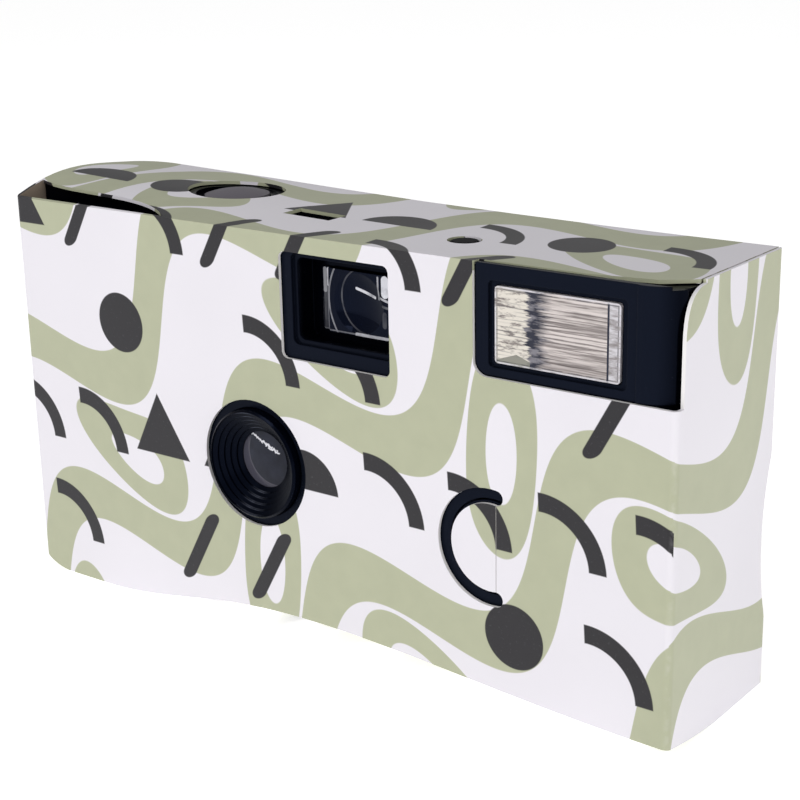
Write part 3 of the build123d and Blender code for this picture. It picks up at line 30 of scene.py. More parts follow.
# Places of the body, in metres
sleeve_low, sleeve_high = (Vector(corner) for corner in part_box("paper_sleeve"))
body_right = sleeve_high.x
front_y = sleeve_low.y
front_top = sleeve_high.z - 2.9 * MM
board = 0.5 * MM
fold_reach = 1.3 * MM
foot_reach = 4.5 * MM
glass_low, glass_high = (Vector(corner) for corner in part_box("taking_lens"))
lens_centre = (glass_low + glass_high) / 2
finder_low, finder_high = (Vector(corner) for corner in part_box("viewfinder_front_lens"))
flash_low, flash_high = (Vector(corner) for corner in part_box("flash_lens"))

# Camera, as the photograph was taken
camera_place = Vector((145.96, -185.55, 107.74)) * MM
camera_target = Vector((16.63, -15.05, 41.25)) * MM
camera_roll = -1.1396
camera_lens = 75.3
camera_sensor = 36.0

# Print: sizes in metres, colours in linear light
paper_white = (0.775, 0.75, 0.80)
sage_green = (0.44, 0.455, 0.318)
charcoal = (0.015, 0.0135, 0.017)
raw_board = (0.30, 0.24, 0.19)
cut_board = (0.82, 0.80, 0.80)
ribbon_turn = radians(31.0)
ribbon_spacing = 29.0 * MM
ribbon_width = 9.2 * MM
ribbon_swing = 8.5 * MM
ribbon_wave = 47.0 * MM
pebble_pitch = 47.0 * MM
pebble_radius = 6.6 * MM
pebble_stroke = 5.0 * MM
pebble_stagger = 0.37
mark_pitch_u = 14.2 * MM
mark_pitch_v = 16.6 * MM
mark_start_v = 3.0 * MM
mark_stagger = 0.43
mark_lean = 0.06
mark_size = 11.8 * MM
mark_stroke = 2.6 * MM
mark_share = 0.8
mark_rows = 5
print_edge = 0.07 * MM
mark_limits = (0.12, 0.25, 0.36, 0.52)
disc_share = 0.78
half_disc_share = 0.5
triangle_slope = 0.866
triangle_share = 0.55
slant_lean = 0.62
arc_shift_share = 0.6
arc_radius_share = 0.68
arc_end_share = 0.7
faded_paper_share = 0.965
faded_ink_share = 0.93
ink_speck = (0.07, 0.066, 0.075)
worn_board = (0.80, 0.79, 0.78)
wear_share = 0.14

# Surfaces: how squarely a face looks one way, noise cells per metre, and depths of grain
squarely = 0.6
grain_scale = 2600.0
grain_depth = 0.03 * MM
gloss_scale = 90.0
gloss_swing = 0.16
dust_scale = 1500.0
dust_low = 0.70
dust_high = 0.78

# Finder lens: painted glints where its moulded edges catch the light, as shares of its width and
# height from its lower left.
# Each has two ends, half its stroke's width and its brightness.
glint_shares = (
    ((-0.01, 0.04), (-0.01, 0.50), 0.010, 0.42),
    ((0.035, 0.62), (0.035, 0.96), 0.024, 0.40),
    ((0.035, 0.05), (0.035, 0.62), 0.020, 0.10),
    ((0.085, 0.72), (0.085, 0.96), 0.022, 0.85),
    ((0.085, 0.03), (0.085, 0.72), 0.020, 0.26),
    ((0.50, 0.725), (0.77, 0.63), 0.018, 0.90),
    ((0.84, 0.62), (0.84, 0.96), 0.012, 0.55),
    ((0.94, 0.72), (0.94, 0.93), 0.052, 1.00),
    ((0.87, 0.64), (1.00, 0.60), 0.014, 0.70),
    ((0.90, 0.52), (1.00, 0.50), 0.014, 0.22),
    ((0.93, 0.22), (0.93, 0.40), 0.030, 0.10),
    ((0.00, 0.02), (0.52, 0.02), 0.008, 0.24),
    ((0.52, 0.02), (1.00, 0.02), 0.020, 0.62),
)
# Painted glint arcs of its curved faces: centre, radius and half the stroke's width, as shares of
# the lens's width, and brightness
glint_arc_shares = (
    ((0.86, 0.40), 0.735, 0.011, 0.36),
    ((0.68, 0.42), 0.385, 0.009, 0.13),
)
navy = (0.42, 0.55, 1.0)
# Painted shade: the finder lens is coloured with the dark of the tunnel behind it
tunnel_shade_black = (0.0025, 0.0035, 0.009)
glint_white = (0.82, 0.82, 0.88)

# Taking lens: painted highlight streak and painted crescent sheen, as shares of its radius from
# its centre
highlight_streak_shares = ((-0.54, 0.80), (0.60, 0.32))
highlight_streak_width_share = 0.040
highlight_streak_jag_share = 0.17
sheen_crescent_shares = (0.42, 0.25, 1.07)
# Painted shade of the taking lens's dark body, then the colour of its painted sheen
glass_shade_dusk = (0.026, 0.029, 0.046)
glass_sheen = (0.105, 0.100, 0.130)

# Lens cone: its rings, with painted glints at the top and at the foot, and its dull rim
ring_first = 5.0 * MM
ring_last = 7.8 * MM
ring_pitch = 0.7 * MM
ring_stroke = 0.11 * MM
rim_radius = 8.9 * MM
cover_black = (0.0048, 0.0064, 0.0122)
# Painted shade: black faces set back from the front are darkened towards this colour
recess_shade_black = (0.0004, 0.0006, 0.0017)
inner_black = (0.0006, 0.0008, 0.0018)
button_grey = (0.105, 0.095, 0.115)
cone_black = (0.0008, 0.0013, 0.0036)
ring_glint = (0.060, 0.066, 0.088)

# Flash lens: painted light and shade of the tube and reflector behind its ribs, with places as
# shares of its width
painted_tube_cream = (0.74, 0.69, 0.62)
tube_shadow = (0.022, 0.024, 0.042)
painted_reflector_rose = (0.68, 0.615, 0.595)
rib_shadow = (0.17, 0.145, 0.14)
rib_shade_dark = (0.07, 0.055, 0.055)
rim_highlight = (0.66, 0.64, 0.68)
gap_shade_grey = (0.26, 0.25, 0.28)
facet_grey = (0.22, 0.22, 0.185)
flash_flange = 0.8 * MM
band_start_share = 0.265
band_end_share = 0.385
band_jag_share = 0.11
join_share = 0.905
join_width_share = 0.008
facet_width_share = 0.29
facet_height_share = 0.15
facet_slope = 0.62
rim_share = 0.012
rib_count = 19.0

# Light: softboxes with place, width and height in metres, and power in watts
ground_light = 1.0
room_light = 0.42
light_target = (0.0, 0.0, 0.03)
softboxes = {
    "key": ((-0.15, -0.85, 0.45), 0.5, 0.4, 1.58),
    "strip": ((-0.12, -0.45, 0.62), 0.32, 0.03, 1.0),
    "fill": ((0.75, -0.15, 0.25), 0.5, 0.5, 1.45),
}
white = (1.0, 1.0, 1.0)
floor_reach = 3.0
floor_tone = (0.93, 0.93, 0.93)
floor_glow = 0.58


class Value:
    """A number in a material's node tree, with arithmetic that adds Math nodes."""

    def __init__(self, tree, socket):
        self.tree = tree
        self.socket = socket

    def _math(self, operation, *others):
        node = self.tree.nodes.new("ShaderNodeMath")
        node.operation = operation
        for slot, value in enumerate((self, *others)):
            if isinstance(value, Value):
                self.tree.links.new(value.socket, node.inputs[slot])
            else:
                node.inputs[slot].default_value = value
        return Value(self.tree, node.outputs[0])

    def __add__(self, other):
        return self._math("ADD", other)

    def __sub__(self, other):
        return self._math("SUBTRACT", other)

    def __mul__(self, other):
        return self._math("MULTIPLY", other)

    def __truediv__(self, other):
        return self._math("DIVIDE", other)

    def abs(self):
        return self._math("ABSOLUTE")

    def sin(self):
        return self._math("SINE")

    def floor(self):
        return self._math("FLOOR")

    def wrap(self, low, high):
        return self._math("WRAP", high, low)

    def low(self, other):
        return self._math("MINIMUM", other)

    def high(self, other):
        return self._math("MAXIMUM", other)

    def above(self, other):
        return self._math("GREATER_THAN", other)

    def below(self, other):
        return self._math("LESS_THAN", other)

    def distance(self, other):
        return (self * self + other * other)._math("SQRT")

    def inverse(self):
        return (self * -1.0) + 1.0


class Material:
    """A Principled material with helpers for places, noise and mixed colours."""

    def __init__(self, name, colour, roughness, metallic=0.0):
        self.material = bpy.data.materials.new(name)
        self.material.use_nodes = True
        self.tree = self.material.node_tree
        self.shader = self.tree.nodes["Principled BSDF"]
        self.shader.inputs["Base Color"].default_value = (*colour, 1.0)
        self.shader.inputs["Roughness"].default_value = roughness
        self.shader.inputs["Metallic"].default_value = metallic
        self.bump_normal = None

    def node(self, kind):
        return self.tree.nodes.new(kind)

    def link(self, source, target):
        self.tree.links.new(source.socket if isinstance(source, Value) else source, target)

    def split(self, socket):
        parts = self.node("ShaderNodeSeparateXYZ")
        self.link(socket, parts.inputs[0])
        return tuple(Value(self.tree, parts.outputs[axis]) for axis in range(3))

    def place(self):
        return self.split(self.node("ShaderNodeTexCoord").outputs["Object"])

    def normal(self):
        return self.split(self.node("ShaderNodeNewGeometry").outputs["True Normal"])

    def vector(self, x, y, z):
        joined = self.node("ShaderNodeCombineXYZ")
        for slot, value in enumerate((x, y, z)):
            if isinstance(value, Value):
                self.link(value, joined.inputs[slot])
            else:
                joined.inputs[slot].default_value = value
        return joined.outputs[0]

    def noise(self, scale, detail=3.0, stretch=(1.0, 1.0, 1.0), roughness=0.5):
        mapping = self.node("ShaderNodeMapping")
        mapping.inputs["Scale"].default_value = stretch
        self.link(self.node("ShaderNodeTexCoord").outputs["Object"], mapping.inputs["Vector"])
        noise = self.node("ShaderNodeTexNoise")
        noise.inputs["Scale"].default_value = scale
        noise.inputs["Detail"].default_value = detail
        noise.inputs["Roughness"].default_value = roughness
        self.link(mapping.outputs[0], noise.inputs["Vector"])
        return Value(self.tree, noise.outputs["Fac"])

    def mix(self, share, first, second):
        mixer = self.node("ShaderNodeMix")
        mixer.data_type = "RGBA"
        if isinstance(share, Value):
            self.link(share, mixer.inputs[0])
        else:
            mixer.inputs[0].default_value = share
        for slot, colour in ((6, first), (7, second)):
            if isinstance(colour, tuple):
                mixer.inputs[slot].default_value = (*colour, 1.0)
            else:
                self.link(colour, mixer.inputs[slot])
        return mixer.outputs[2]

    def ramp(self, value, low, high):
        """0 below low, 1 above high, straight between."""
        span = self.node("ShaderNodeMapRange")
        span.inputs["From Min"].default_value = low
        span.inputs["From Max"].default_value = high
        self.link(value, span.inputs["Value"])
        return Value(self.tree, span.outputs[0])

    def colour(self, socket):
        self.link(socket, self.shader.inputs["Base Color"])

    def roughness(self, value):
        self.link(value, self.shader.inputs["Roughness"])

    def set(self, name, value):
        self.shader.inputs[name].default_value = value

    def facing_front(self, limit):
        _, ny, _ = self.normal()
        return (ny * -1.0).above(limit)

    def within(self, distance, soft):
        """1 inside a signed distance and 0 outside it."""
        return self.ramp(distance * -1.0, -soft, soft)

    def bump(self, height, strength, distance):
        bump = self.node("ShaderNodeBump")
        bump.inputs["Strength"].default_value = strength
        bump.inputs["Distance"].default_value = distance
        self.link(height, bump.inputs["Height"])
        if self.bump_normal:
            self.link(self.bump_normal, bump.inputs["Normal"])
        self.bump_normal = bump.outputs[0]
        self.link(self.bump_normal, self.shader.inputs["Normal"])

    def soft_edges(self, radius):
        """Rounds the look of sharp edges."""
        bevel = self.node("ShaderNodeBevel")
        bevel.samples = 4
        bevel.inputs["Radius"].default_value = radius
        self.bump_normal = bevel.outputs[0]
        self.link(self.bump_normal, self.shader.inputs["Normal"])


def capsule(u, v, half_length, radius):
    """Signed distance to a bar with round ends."""
    return ((u.abs() - half_length).high(0.0)).distance(v) - radius


def ribbons(along, across):
    """Signed distance to the curved bands and to the pebble rings between them."""
    wave = (along * (tau / ribbon_wave)).sin() * ribbon_swing
    level = across - wave
    band = level.wrap(-ribbon_spacing / 2, ribbon_spacing / 2).abs() - ribbon_width / 2
    row = (level / ribbon_spacing).floor()
    shifted = along + row * (pebble_pitch * pebble_stagger)
    cell_u = shifted.wrap(-pebble_pitch / 2, pebble_pitch / 2)
    cell_v = level.wrap(0.0, ribbon_spacing) - ribbon_spacing / 2
    ring = (cell_u.distance(cell_v) - pebble_radius).abs() - pebble_stroke / 2
    return band.low(ring)


def marks(made, u, v):
    """Signed distance to the dark marks, and where they are drawn."""
    row = ((v - mark_start_v) / mark_pitch_v).floor()
    mark_v = (v - mark_start_v).wrap(0.0, mark_pitch_v) - mark_pitch_v / 2
    shifted = u + row * (mark_pitch_u * mark_stagger) + v * mark_lean
    column = (shifted / mark_pitch_u).floor()
    mark_u = shifted.wrap(0.0, mark_pitch_u) - mark_pitch_u / 2
    chance = made.node("ShaderNodeTexWhiteNoise")
    chance.noise_dimensions = "2D"
    made.link(made.vector(column, row, 0.0), chance.inputs["Vector"])
    pick = Value(made.tree, chance.outputs["Value"])
    half = mark_size / 2
    reach = half - mark_stroke / 2
    disc = mark_u.distance(mark_v) - half * disc_share
    raised = mark_v + half * half_disc_share
    half_disc = (mark_u.distance(raised) - half).high(raised * -1.0)
    sides = mark_u.abs() * triangle_slope + mark_v * 0.5
    triangle = sides.high(mark_v * -1.0) - half * triangle_share
    slant = capsule(mark_v, mark_u - mark_v * slant_lean, reach, mark_stroke / 2)
    from_centre = (mark_u + reach * arc_shift_share).distance(mark_v + reach)
    arc = (from_centre - mark_size * arc_radius_share).abs() - mark_stroke / 2
    quarter = arc.high(mark_u * -1.0 - reach * arc_end_share).high(mark_v * -1.0 - reach)
    dark = disc
    for limit, shape in zip(mark_limits, (half_disc, triangle, slant, quarter)):
        use = pick.above(limit)
        dark = dark * use.inverse() + shape * use
    return dark, pick.below(mark_share) * row.below(mark_rows - 0.5)


def printed_board():
    """Coated board with a generic print of curved bands, pebbles and dark marks."""
    made = Material("printed_board", paper_white, 0.42)
    x, y, z = made.place()
    nx, ny, nz = made.normal()
    depth = y - front_y
    on_top = nz.abs().above(squarely)
    on_side = nx.abs().above(squarely)
    on_front = (ny * -1.0).above(squarely)
    # The print runs on over the folds at the front
    u = x + depth * on_side
    v = z + depth * on_top
    along = u * cos(ribbon_turn) + v * sin(ribbon_turn)
    across = v * cos(ribbon_turn) - u * sin(ribbon_turn)
    green_share = made.within(ribbons(along, across), print_edge)
    dark, drawn = marks(made, u, v)
    dark_share = made.within(dark, print_edge) * drawn * on_front.high(on_top)
    tone = made.noise(320.0, 4.0)
    blotch = made.noise(38.0, 2.0)
    faded_paper = tuple(faded_paper_share * part for part in paper_white)
    faded_ink = tuple(faded_ink_share * part for part in sage_green)
    paper = made.mix(made.ramp(blotch, 0.3, 0.7), paper_white, faded_paper)
    ink = made.mix(made.ramp(tone, 0.2, 0.8), sage_green, faded_ink)
    printed = made.mix(green_share, paper, ink)
    speckle = made.ramp(made.noise(2200.0, 2.0), 0.62, 0.74)
    dark_ink = made.mix(speckle * 0.3, charcoal, ink_speck)
    printed = made.mix(dark_share, printed, dark_ink)
    # Worn folds, bare cut edges and the raw inner face
    flat = nx.abs().high(ny.abs()).high(nz.abs())
    patches = made.ramp(made.noise(700.0, 3.0), 0.42, 0.66)
    fold = made.ramp(flat, 0.985, 0.80) * patches * wear_share
    fold = fold * depth.below(2 * fold_reach)
    printed = made.mix(fold, printed, worn_board)
    inside_front = depth.above(0.02 * MM) * depth.below(board * 0.97)
    inside_sides = x.abs().below(body_right - fold_reach)
    cut = inside_front * inside_sides * z.below(front_top - fold_reach) * z.above(foot_reach)
    printed = made.mix(cut, printed, cut_board)
    inner_side = (nx * x).below(0.0) * nx.abs().above(0.5) * x.abs().above(body_right - 2 * board)
    inner_front = ny.above(squarely) * depth.below(2 * board)
    printed = made.mix(inner_side.high(inner_front), printed, raw_board)
    side_cut = nx.abs().below(0.5) * x.abs().above(body_right - board * 1.1)
    side_cut = side_cut * depth.above(fold_reach) * nz.abs().below(0.85)
    printed = made.mix(side_cut, printed, cut_board)
    made.colour(printed)
    made.roughness(made.noise(60.0, 3.0) * 0.12 + 0.34)
    made.set("Specular IOR Level", 0.3)
    made.set("Coat Weight", 0.08)
    made.set("Coat Roughness", 0.25)
    made.bump(made.noise(grain_scale, 2.0), 0.05, grain_depth)
    made.bump(made.noise(45.0, 2.0), 0.12, 0.25 * MM)
    return made.material


def moulded(
    name,
    colour,
    roughness,
    grain=0.06,
    cells=grain_scale,
    specular=0.45,
    edge=0.14,
    sheen=white,
    deep=None,
):
    """Moulded plastic with fine grain, uneven gloss, soft edges and painted shade, a darker
    colour, set back.
    """
    made = Material(name, colour, roughness)
    made.soft_edges(edge * MM)
    base = colour
    # Painted shade: faces set back from the front darken towards the colour deep
    if deep:
        _, y, _ = made.place()
        base = made.mix(made.ramp(y - front_y, board, 4 * board), colour, deep)
    dust = made.ramp(made.noise(dust_scale, 2.0, roughness=0.7), dust_low, dust_high)
    lighter = tuple(min(1.0, part * 1.6 + 0.008) for part in colour)
    made.colour(made.mix(dust * 0.5, base, lighter))
    made.roughness(made.noise(gloss_scale, 3.0) * gloss_swing + (roughness - gloss_swing / 2))
    made.set("Specular IOR Level", specular)
    made.set("Specular Tint", (*sheen, 1.0))
    made.bump(made.noise(cells, 2.0), grain, grain_depth)
    return made.material


def clear(name, tint, roughness=0.02, ior=1.49, specular=0.5):
    """Clear moulded acrylic or glass."""
    made = Material(name, tint, roughness)
    made.set("Transmission Weight", 1.0)
    made.set("IOR", ior)
    made.set("Specular IOR Level", specular)
    made.roughness(made.noise(240.0, 2.0) * 0.03 + roughness)
    return made


def ringed_cone():
    """Moulded black lens cone, with faint painted glints at the top and foot of its rings."""
    made = Material("bezel_black", cone_black, 0.24)
    made.soft_edges(0.1 * MM)
    x, _, z = made.place()
    u = x - lens_centre.x
    radius = u.distance(z - lens_centre.z)
    line = (radius - ring_first).wrap(-ring_pitch / 2, ring_pitch / 2).abs()
    rings = radius.above(ring_first - ring_stroke) * radius.below(ring_last + ring_stroke)
    middle = made.ramp((u / radius + 0.12).abs(), 0.36, 0.05)
    # Painted glints: lighter rings mixed into the cone's colour
    glint = made.ramp(line, ring_stroke, ring_stroke / 2) * rings * middle
    glint = glint * made.ramp(made.noise(500.0, 2.0), 0.25, 0.6)
    made.colour(made.mix(glint, cone_black, ring_glint))
    made.roughness(made.noise(gloss_scale, 3.0) * gloss_swing + gloss_swing)
    made.link(radius.below(rim_radius) * 0.07, made.shader.inputs["Specular IOR Level"])
    made.set("Specular Tint", (*navy, 1.0))
    made.bump(made.noise(grain_scale, 2.0), 0.03, grain_depth)
    return made.material


def stroke(x, z, start, end, half_width):
    """Signed distance to a straight stroke with round ends."""
    run_x = end[0] - start[0]
    run_z = end[1] - start[1]
    from_x = x - start[0]
    from_z = z - start[1]
    along = (from_x * run_x + from_z * run_z) / (run_x * run_x + run_z * run_z)
    share = along.high(0.0).low(1.0)
    return (from_x - share * run_x).distance(from_z - share * run_z) - half_width


def finder_glass():
    """Clear finder lens over a black tunnel, coloured with the tunnel's painted shade and painted
    glints of its edges and curved faces.
    """
    made = clear("finder_glass", (0.75, 0.8, 0.95), specular=0.05)
    made.set("Specular Tint", (*navy, 1.0))
    x, _, z = made.place()
    width = finder_high.x - finder_low.x
    height = finder_high.z - finder_low.z
    soft = 0.03 * MM
    glow = None
    u = x - finder_low.x
    v = z - finder_low.z
    for start, end, half_width, brightness in glint_shares:
        ends = ((start[0] * width, start[1] * height), (end[0] * width, end[1] * height))
        mask = made.within(stroke(u, v, *ends, half_width * width), soft) * brightness
        glow = glow.high(mask) if glow else mask
    for centre, radius, half_width, brightness in glint_arc_shares:
        ring = ((u - centre[0] * width).distance(v - centre[1] * width) - radius * width).abs()
        left = made.ramp(u, centre[0] * width, (centre[0] - radius) * width)
        mask = made.ramp(ring * -1.0 + half_width * width, -soft, soft) * left * brightness
        glow = glow.high(mask)
    glow = glow * made.ramp(made.noise(420.0, 3.0), 0.15, 0.55) * made.facing_front(0.3)
    # Painted glints over the tunnel's painted shade; little light passes through
    made.colour(made.mix(glow, tunnel_shade_black, glint_white))
    made.link(glow.inverse() * 0.12, made.shader.inputs["Transmission Weight"])
    return made.material


def taking_glass():
    """Coated taking lens in painted shade, with a painted jagged streak of light and a painted
    pale crescent sheen at its lower left.
    """
    made = clear("taking_glass", (0.7, 0.75, 0.9), specular=0.1)
    x, _, z = made.place()
    radius = (glass_high.x - glass_low.x) / 2
    shiver = (made.noise(2500.0, 2.0) - 0.5) * (highlight_streak_jag_share * radius)
    u = x - lens_centre.x + shiver
    v = z - lens_centre.z + shiver
    ends = tuple((end[0] * radius, end[1] * radius) for end in highlight_streak_shares)
    soft = 0.04 * MM
    streak = made.within(stroke(u, v, *ends, highlight_streak_width_share * radius), soft)
    rim_x, rim_z, rim_radius = (share * radius for share in sheen_crescent_shares)
    from_rim_x = x - (lens_centre.x + rim_x)
    from_rim_z = z - (lens_centre.z + rim_z)
    outside = from_rim_x.distance(from_rim_z) - rim_radius
    lower = made.ramp(x - lens_centre.x + z - lens_centre.z, 0.2 * radius, -0.2 * radius)
    crescent = made.ramp(outside, -soft, soft) * lower
    line = made.ramp(outside.abs() * -1.0, -4 * soft, 0.0) * lower
    cloud = made.ramp(made.noise(380.0, 3.0), 0.3, 0.7)
    # Painted shade of the lens body, then its painted sheen and painted highlight streak
    body = made.mix(cloud, glass_shade_dusk, tuple(0.6 * part for part in glass_shade_dusk))
    body = made.mix((crescent * 0.6).high(line), body, glass_sheen)
    body = made.mix(streak, body, glint_white)
    made.colour(body)
    front = made.facing_front(0.3)
    made.link((front * 0.88).inverse(), made.shader.inputs["Transmission Weight"])
    return made.material


def ribbed_glass():
    """Ribbed flash lens that spreads the look of the tube and its bright reflector, painted as
    light and shade on its faces.
    """
    made = Material("ribbed_glass", painted_reflector_rose, 0.16)
    x, _, z = made.place()
    width = flash_high.x - flash_low.x - 2 * flash_flange
    height = flash_high.z - flash_low.z - 2 * flash_flange
    share_x = (x - (flash_low.x + flash_flange)) / width
    share_z = (z - (flash_low.z + flash_flange)) / height
    fine = made.noise(1.0, 3.0, stretch=(130.0, 100.0, 3300.0), roughness=0.6)
    broad = made.noise(1.0, 2.0, stretch=(60.0, 60.0, 900.0))
    coarse = made.noise(1.0, 4.0, stretch=(420.0, 100.0, 1700.0), roughness=0.65)
    jag = made.noise(1.0, 4.0, stretch=(160.0, 100.0, 2100.0), roughness=0.7) - 0.5
    # Painted light and shade: the reflector on the right, the tube's bright end on the left and
    # the shaded gap between them
    waves = (share_z * (tau * rib_count) + jag * 5.0).sin()
    ribs = made.ramp(waves, 0.1, 1.0) * made.ramp(broad, 0.66, 0.40)
    right = made.mix(made.ramp(fine, 0.55, 0.36) * 0.85, painted_reflector_rose, rib_shadow)
    deepest = made.ramp(share_x, 1.0, band_end_share)
    right = made.mix(ribs * (deepest * 0.35 + 0.5), right, rib_shade_dark)
    # Painted shade towards the foot of the reflector
    right = made.mix(made.ramp(share_z, 0.25, 0.02) * 0.5, right, rib_shadow)
    left = made.mix(made.ramp(coarse, 0.50, 0.38) * 0.9, painted_tube_cream, rib_shadow)
    left = made.mix(ribs * made.ramp(fine, 0.62, 0.42) * 0.8, left, tube_shadow)
    gap = made.mix(made.ramp(coarse, 0.47, 0.62) * 0.8, tube_shadow, gap_shade_grey)
    reach = share_x + jag * (2 * band_jag_share)
    into_gap = made.ramp(reach, band_start_share - 0.01, band_start_share + 0.01)
    past_gap = made.ramp(reach + jag * 0.12, band_end_share - 0.03, band_end_share + 0.07)
    body = made.mix(into_gap, left, gap)
    body = made.mix(past_gap, body, right)
    slope = (share_x - facet_width_share * facet_slope).abs() * facet_slope
    facet = (share_z + slope).below(facet_height_share) * share_x.below(facet_width_share)
    body = made.mix(facet * 0.9, body, facet_grey)
    # The clear end past the join, as a painted highlight streaked with painted shadow, and the
    # painted highlights of the rims
    past = made.ramp(coarse, 0.62, 0.38) * 0.75 + 0.05
    body = made.mix(share_x.above(join_share), body, rim_highlight)
    body = made.mix(share_x.above(join_share) * past, body, rib_shadow)
    join = (share_x - join_share).abs().below(join_width_share)
    body = made.mix(join, body, tube_shadow)
    from_side = share_x.low(share_x.inverse())
    from_end = share_z.low(share_z.inverse()) * (height / width)
    edge = from_side.low(from_end)
    rim = edge.below(rim_share) * made.ramp(coarse, 0.32, 0.5)
    body = made.mix(rim * 0.9, body, rim_highlight)
    trace = (edge - rim_share * 1.5).abs().below(rim_share * 0.4) * 0.65
    body = made.mix(trace * made.ramp(coarse, 0.40, 0.52), body, tube_shadow)
    front = made.facing_front(0.5)
    # The faces other than the front take the painted rim highlight
    body = made.mix(front, rim_highlight, body)
    made.colour(body)
    made.link(front.inverse() * 0.5 + 0.06, made.shader.inputs["Transmission Weight"])
    made.set("Specular IOR Level", 0.22)
    made.bump(fine, 0.18, 0.06 * MM)
    return made.material


def metal(name, colour, roughness, streaks=(1.0, 1.0, 1.0)):
    """Bright metal with fine streaks."""
    made = Material(name, colour, roughness, metallic=1.0)
    streak = made.noise(900.0, 3.0, stretch=streaks)
    darker = tuple(part * 0.82 for part in colour)
    made.colour(made.mix(made.ramp(streak, 0.3, 0.7), colour, darker))
    made.roughness(streak * 0.12 + roughness)
    made.bump(streak, 0.08, 0.02 * MM)
    return made.material


looks = {
    "board": printed_board(),
    "black": moulded(
        "black_moulded",
        cover_black,
        0.22,
        0.05,
        specular=0.06,
        edge=0.2,
        sheen=navy,
        deep=recess_shade_black,
    ),
    "inner_black": moulded("inner_black", inner_black, 0.6, 0.2, specular=0.03, sheen=navy),
    "cone": ringed_cone(),
    "grey": moulded("grey_button", button_grey, 0.5, grain=0.25, cells=dust_scale, edge=0.25),
    "white": moulded("white_moulded", (0.62, 0.62, 0.58), 0.42),
    "taking": taking_glass(),
    "optic": clear("clear_optic", (0.80, 0.85, 0.97), specular=0.22).material,
    # Painted shade: the counter window is tinted dark for the dark it shows
    "dark_pane": clear("dark_pane", (0.10, 0.10, 0.13), specular=0.12).material,
    "finder": finder_glass(),
    "flash_clear": ribbed_glass(),
    "glass": clear("tube_glass", (0.97, 0.98, 1.0), 0.03).material,
    "silver": metal("reflector_silver", (0.86, 0.82, 0.74), 0.16),
    "steel": metal("rolled_steel", (0.42, 0.42, 0.43), 0.3, (1.0, 8.0, 8.0)),
    "copper": metal("enamelled_copper", (0.52, 0.22, 0.09), 0.32, (1.0, 1.0, 20.0)),
    "film": moulded("film_emulsion", (0.09, 0.045, 0.035), 0.25),
    "circuit": moulded("circuit_mask", (0.012, 0.075, 0.03), 0.3),
    "cassette": moulded("cassette_lacquer", (0.05, 0.06, 0.05), 0.3),
    "cell": moulded("cell_sleeve", (0.06, 0.065, 0.075), 0.28),
    "amber": clear("lamp_amber", (0.75, 0.22, 0.05), 0.12).material,
    # Painted shade: the light pipe is near-black in place of clear plastic, for the dark it shows
    "pipe": moulded("pipe_shade_black", (0.001, 0.001, 0.002), 0.4, specular=0.02, edge=0.05),
    # Painted shade: the counter dial is near-black, for the dark it shows behind its window
    "dial": moulded("dial_grey", (0.02, 0.02, 0.024), 0.5, specular=0.1),
}
dressed = {
    "board": ("paper_sleeve", "flash_tab"),
    "black": ("front_cover", "rear_cover", "cassette_door", "flash_button", "thumbwheel"),
    "cone": ("lens_bezel",),
    "inner_black": (
        "main_frame",
        "shutter_plate",
        "shutter_blade",
        "viewfinder_tunnel",
        "cassette_spool",
        "supply_spool",
        "cassette_cap_top",
        "cassette_cap_bottom",
        "capacitor",
    ),
    "grey": ("shutter_button",),
    "white": ("sprocket_wheel", "metering_cam", "lock_lever"),
    "dial": ("counter_dial",),
    "taking": ("taking_lens",),
    "optic": ("viewfinder_rear_lens",),
    "dark_pane": ("counter_window",),
    "finder": ("viewfinder_front_lens",),
    "flash_clear": ("flash_lens",),
    "glass": ("flash_tube",),
    "silver": ("flash_reflector",),
    "steel": (
        "striker_lever",
        "shutter_spring",
        "striker_spring",
        "wheel_pawl",
        "button_spring",
        "switch_spring",
        "circuit_screws",
        "battery_contact_left",
        "battery_contact_right",
        "sync_contact",
    ),
    "copper": ("transformer", "trigger_coil"),
    "film": ("film_strip", "film_roll"),
    "circuit": ("circuit_board",),
    "cassette": ("cassette_shell",),
    "cell": ("battery",),
    "amber": ("ready_lamp",),
    "pipe": ("light_pipe",),
}
for look, names in dressed.items():
    for name in names:
        piece = nodes[name]
        piece.data.materials.clear()
        piece.data.materials.append(looks[look])


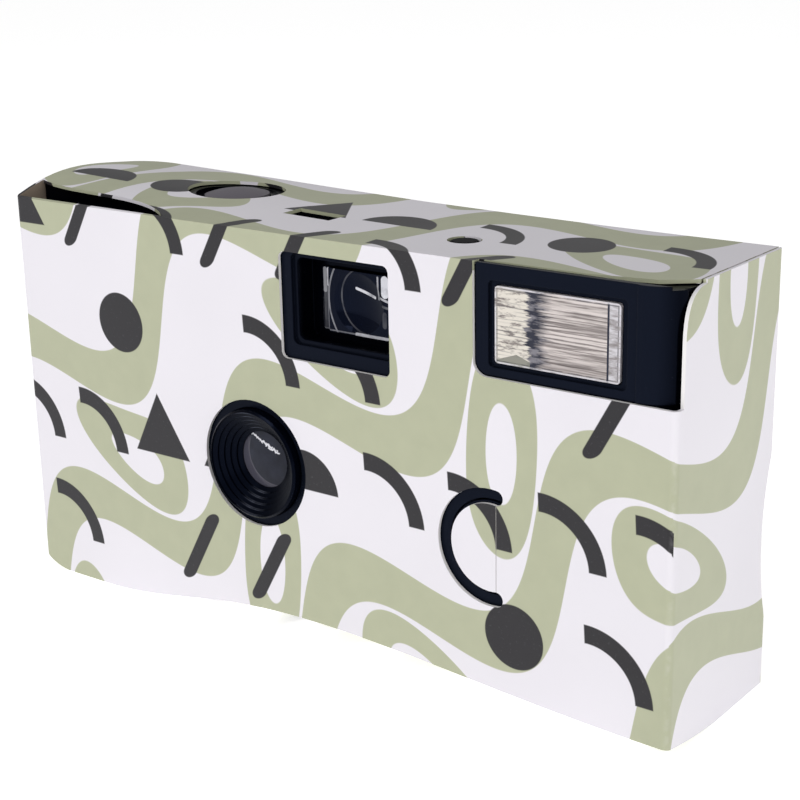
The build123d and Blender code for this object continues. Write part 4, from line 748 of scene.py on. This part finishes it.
def aim(thing, place, target, roll=0.0):
    """Puts a camera or light at a place and points it at a target."""
    turn = (target - place).to_track_quat("-Z", "Y").to_matrix().to_4x4()
    thing.matrix_world = Matrix.Translation(place) @ turn @ Matrix.Rotation(radians(roll), 4, "Z")


def softbox(name, place, width, height, power):
    """A rectangular studio light."""
    data = bpy.data.lights.new(name, "AREA")
    data.shape = "RECTANGLE"
    data.size = width
    data.size_y = height
    data.energy = power
    light = bpy.data.objects.new(name, data)
    light.visible_camera = False
    bpy.context.scene.collection.objects.link(light)
    aim(light, Vector(place), Vector(light_target))


# Floor
floor_mesh = bpy.data.meshes.new("floor")
corners = [(floor_reach * x, floor_reach * y, 0) for x, y in ((-1, -1), (1, -1), (1, 1), (-1, 1))]
floor_mesh.from_pydata(corners, [], [(0, 1, 2, 3)])
floor = bpy.data.objects.new("floor", floor_mesh)
bpy.context.scene.collection.objects.link(floor)
floor_look = Material("floor_white", floor_tone, 0.6)
floor_look.roughness(floor_look.noise(30.0) * 0.1 + 0.55)
floor_look.set("Emission Color", (*white, 1.0))
floor_look.set("Emission Strength", floor_glow)
floor_mesh.materials.append(floor_look.material)

# World and lights, with plain colour management so that white paper stays white
bpy.context.scene.view_settings.view_transform = "Standard"
world = bpy.data.worlds.new("studio")
bpy.context.scene.world = world
world.use_nodes = True
sky = world.node_tree.nodes["Background"]
sky.inputs["Color"].default_value = (*white, 1.0)
seen = world.node_tree.nodes.new("ShaderNodeLightPath")
level = world.node_tree.nodes.new("ShaderNodeMapRange")
level.inputs["To Min"].default_value = room_light
level.inputs["To Max"].default_value = ground_light
world.node_tree.links.new(seen.outputs["Is Camera Ray"], level.inputs["Value"])
world.node_tree.links.new(level.outputs[0], sky.inputs["Strength"])
for name, values in softboxes.items():
    softbox(name, *values)

# Camera
camera_data = bpy.data.cameras.new("camera")
camera_data.lens = camera_lens
camera_data.sensor_width = camera_sensor
camera_data.clip_start = 0.01
camera = bpy.data.objects.new("camera", camera_data)
bpy.context.scene.collection.objects.link(camera)
aim(camera, camera_place, camera_target, camera_roll)
bpy.context.scene.camera = camera
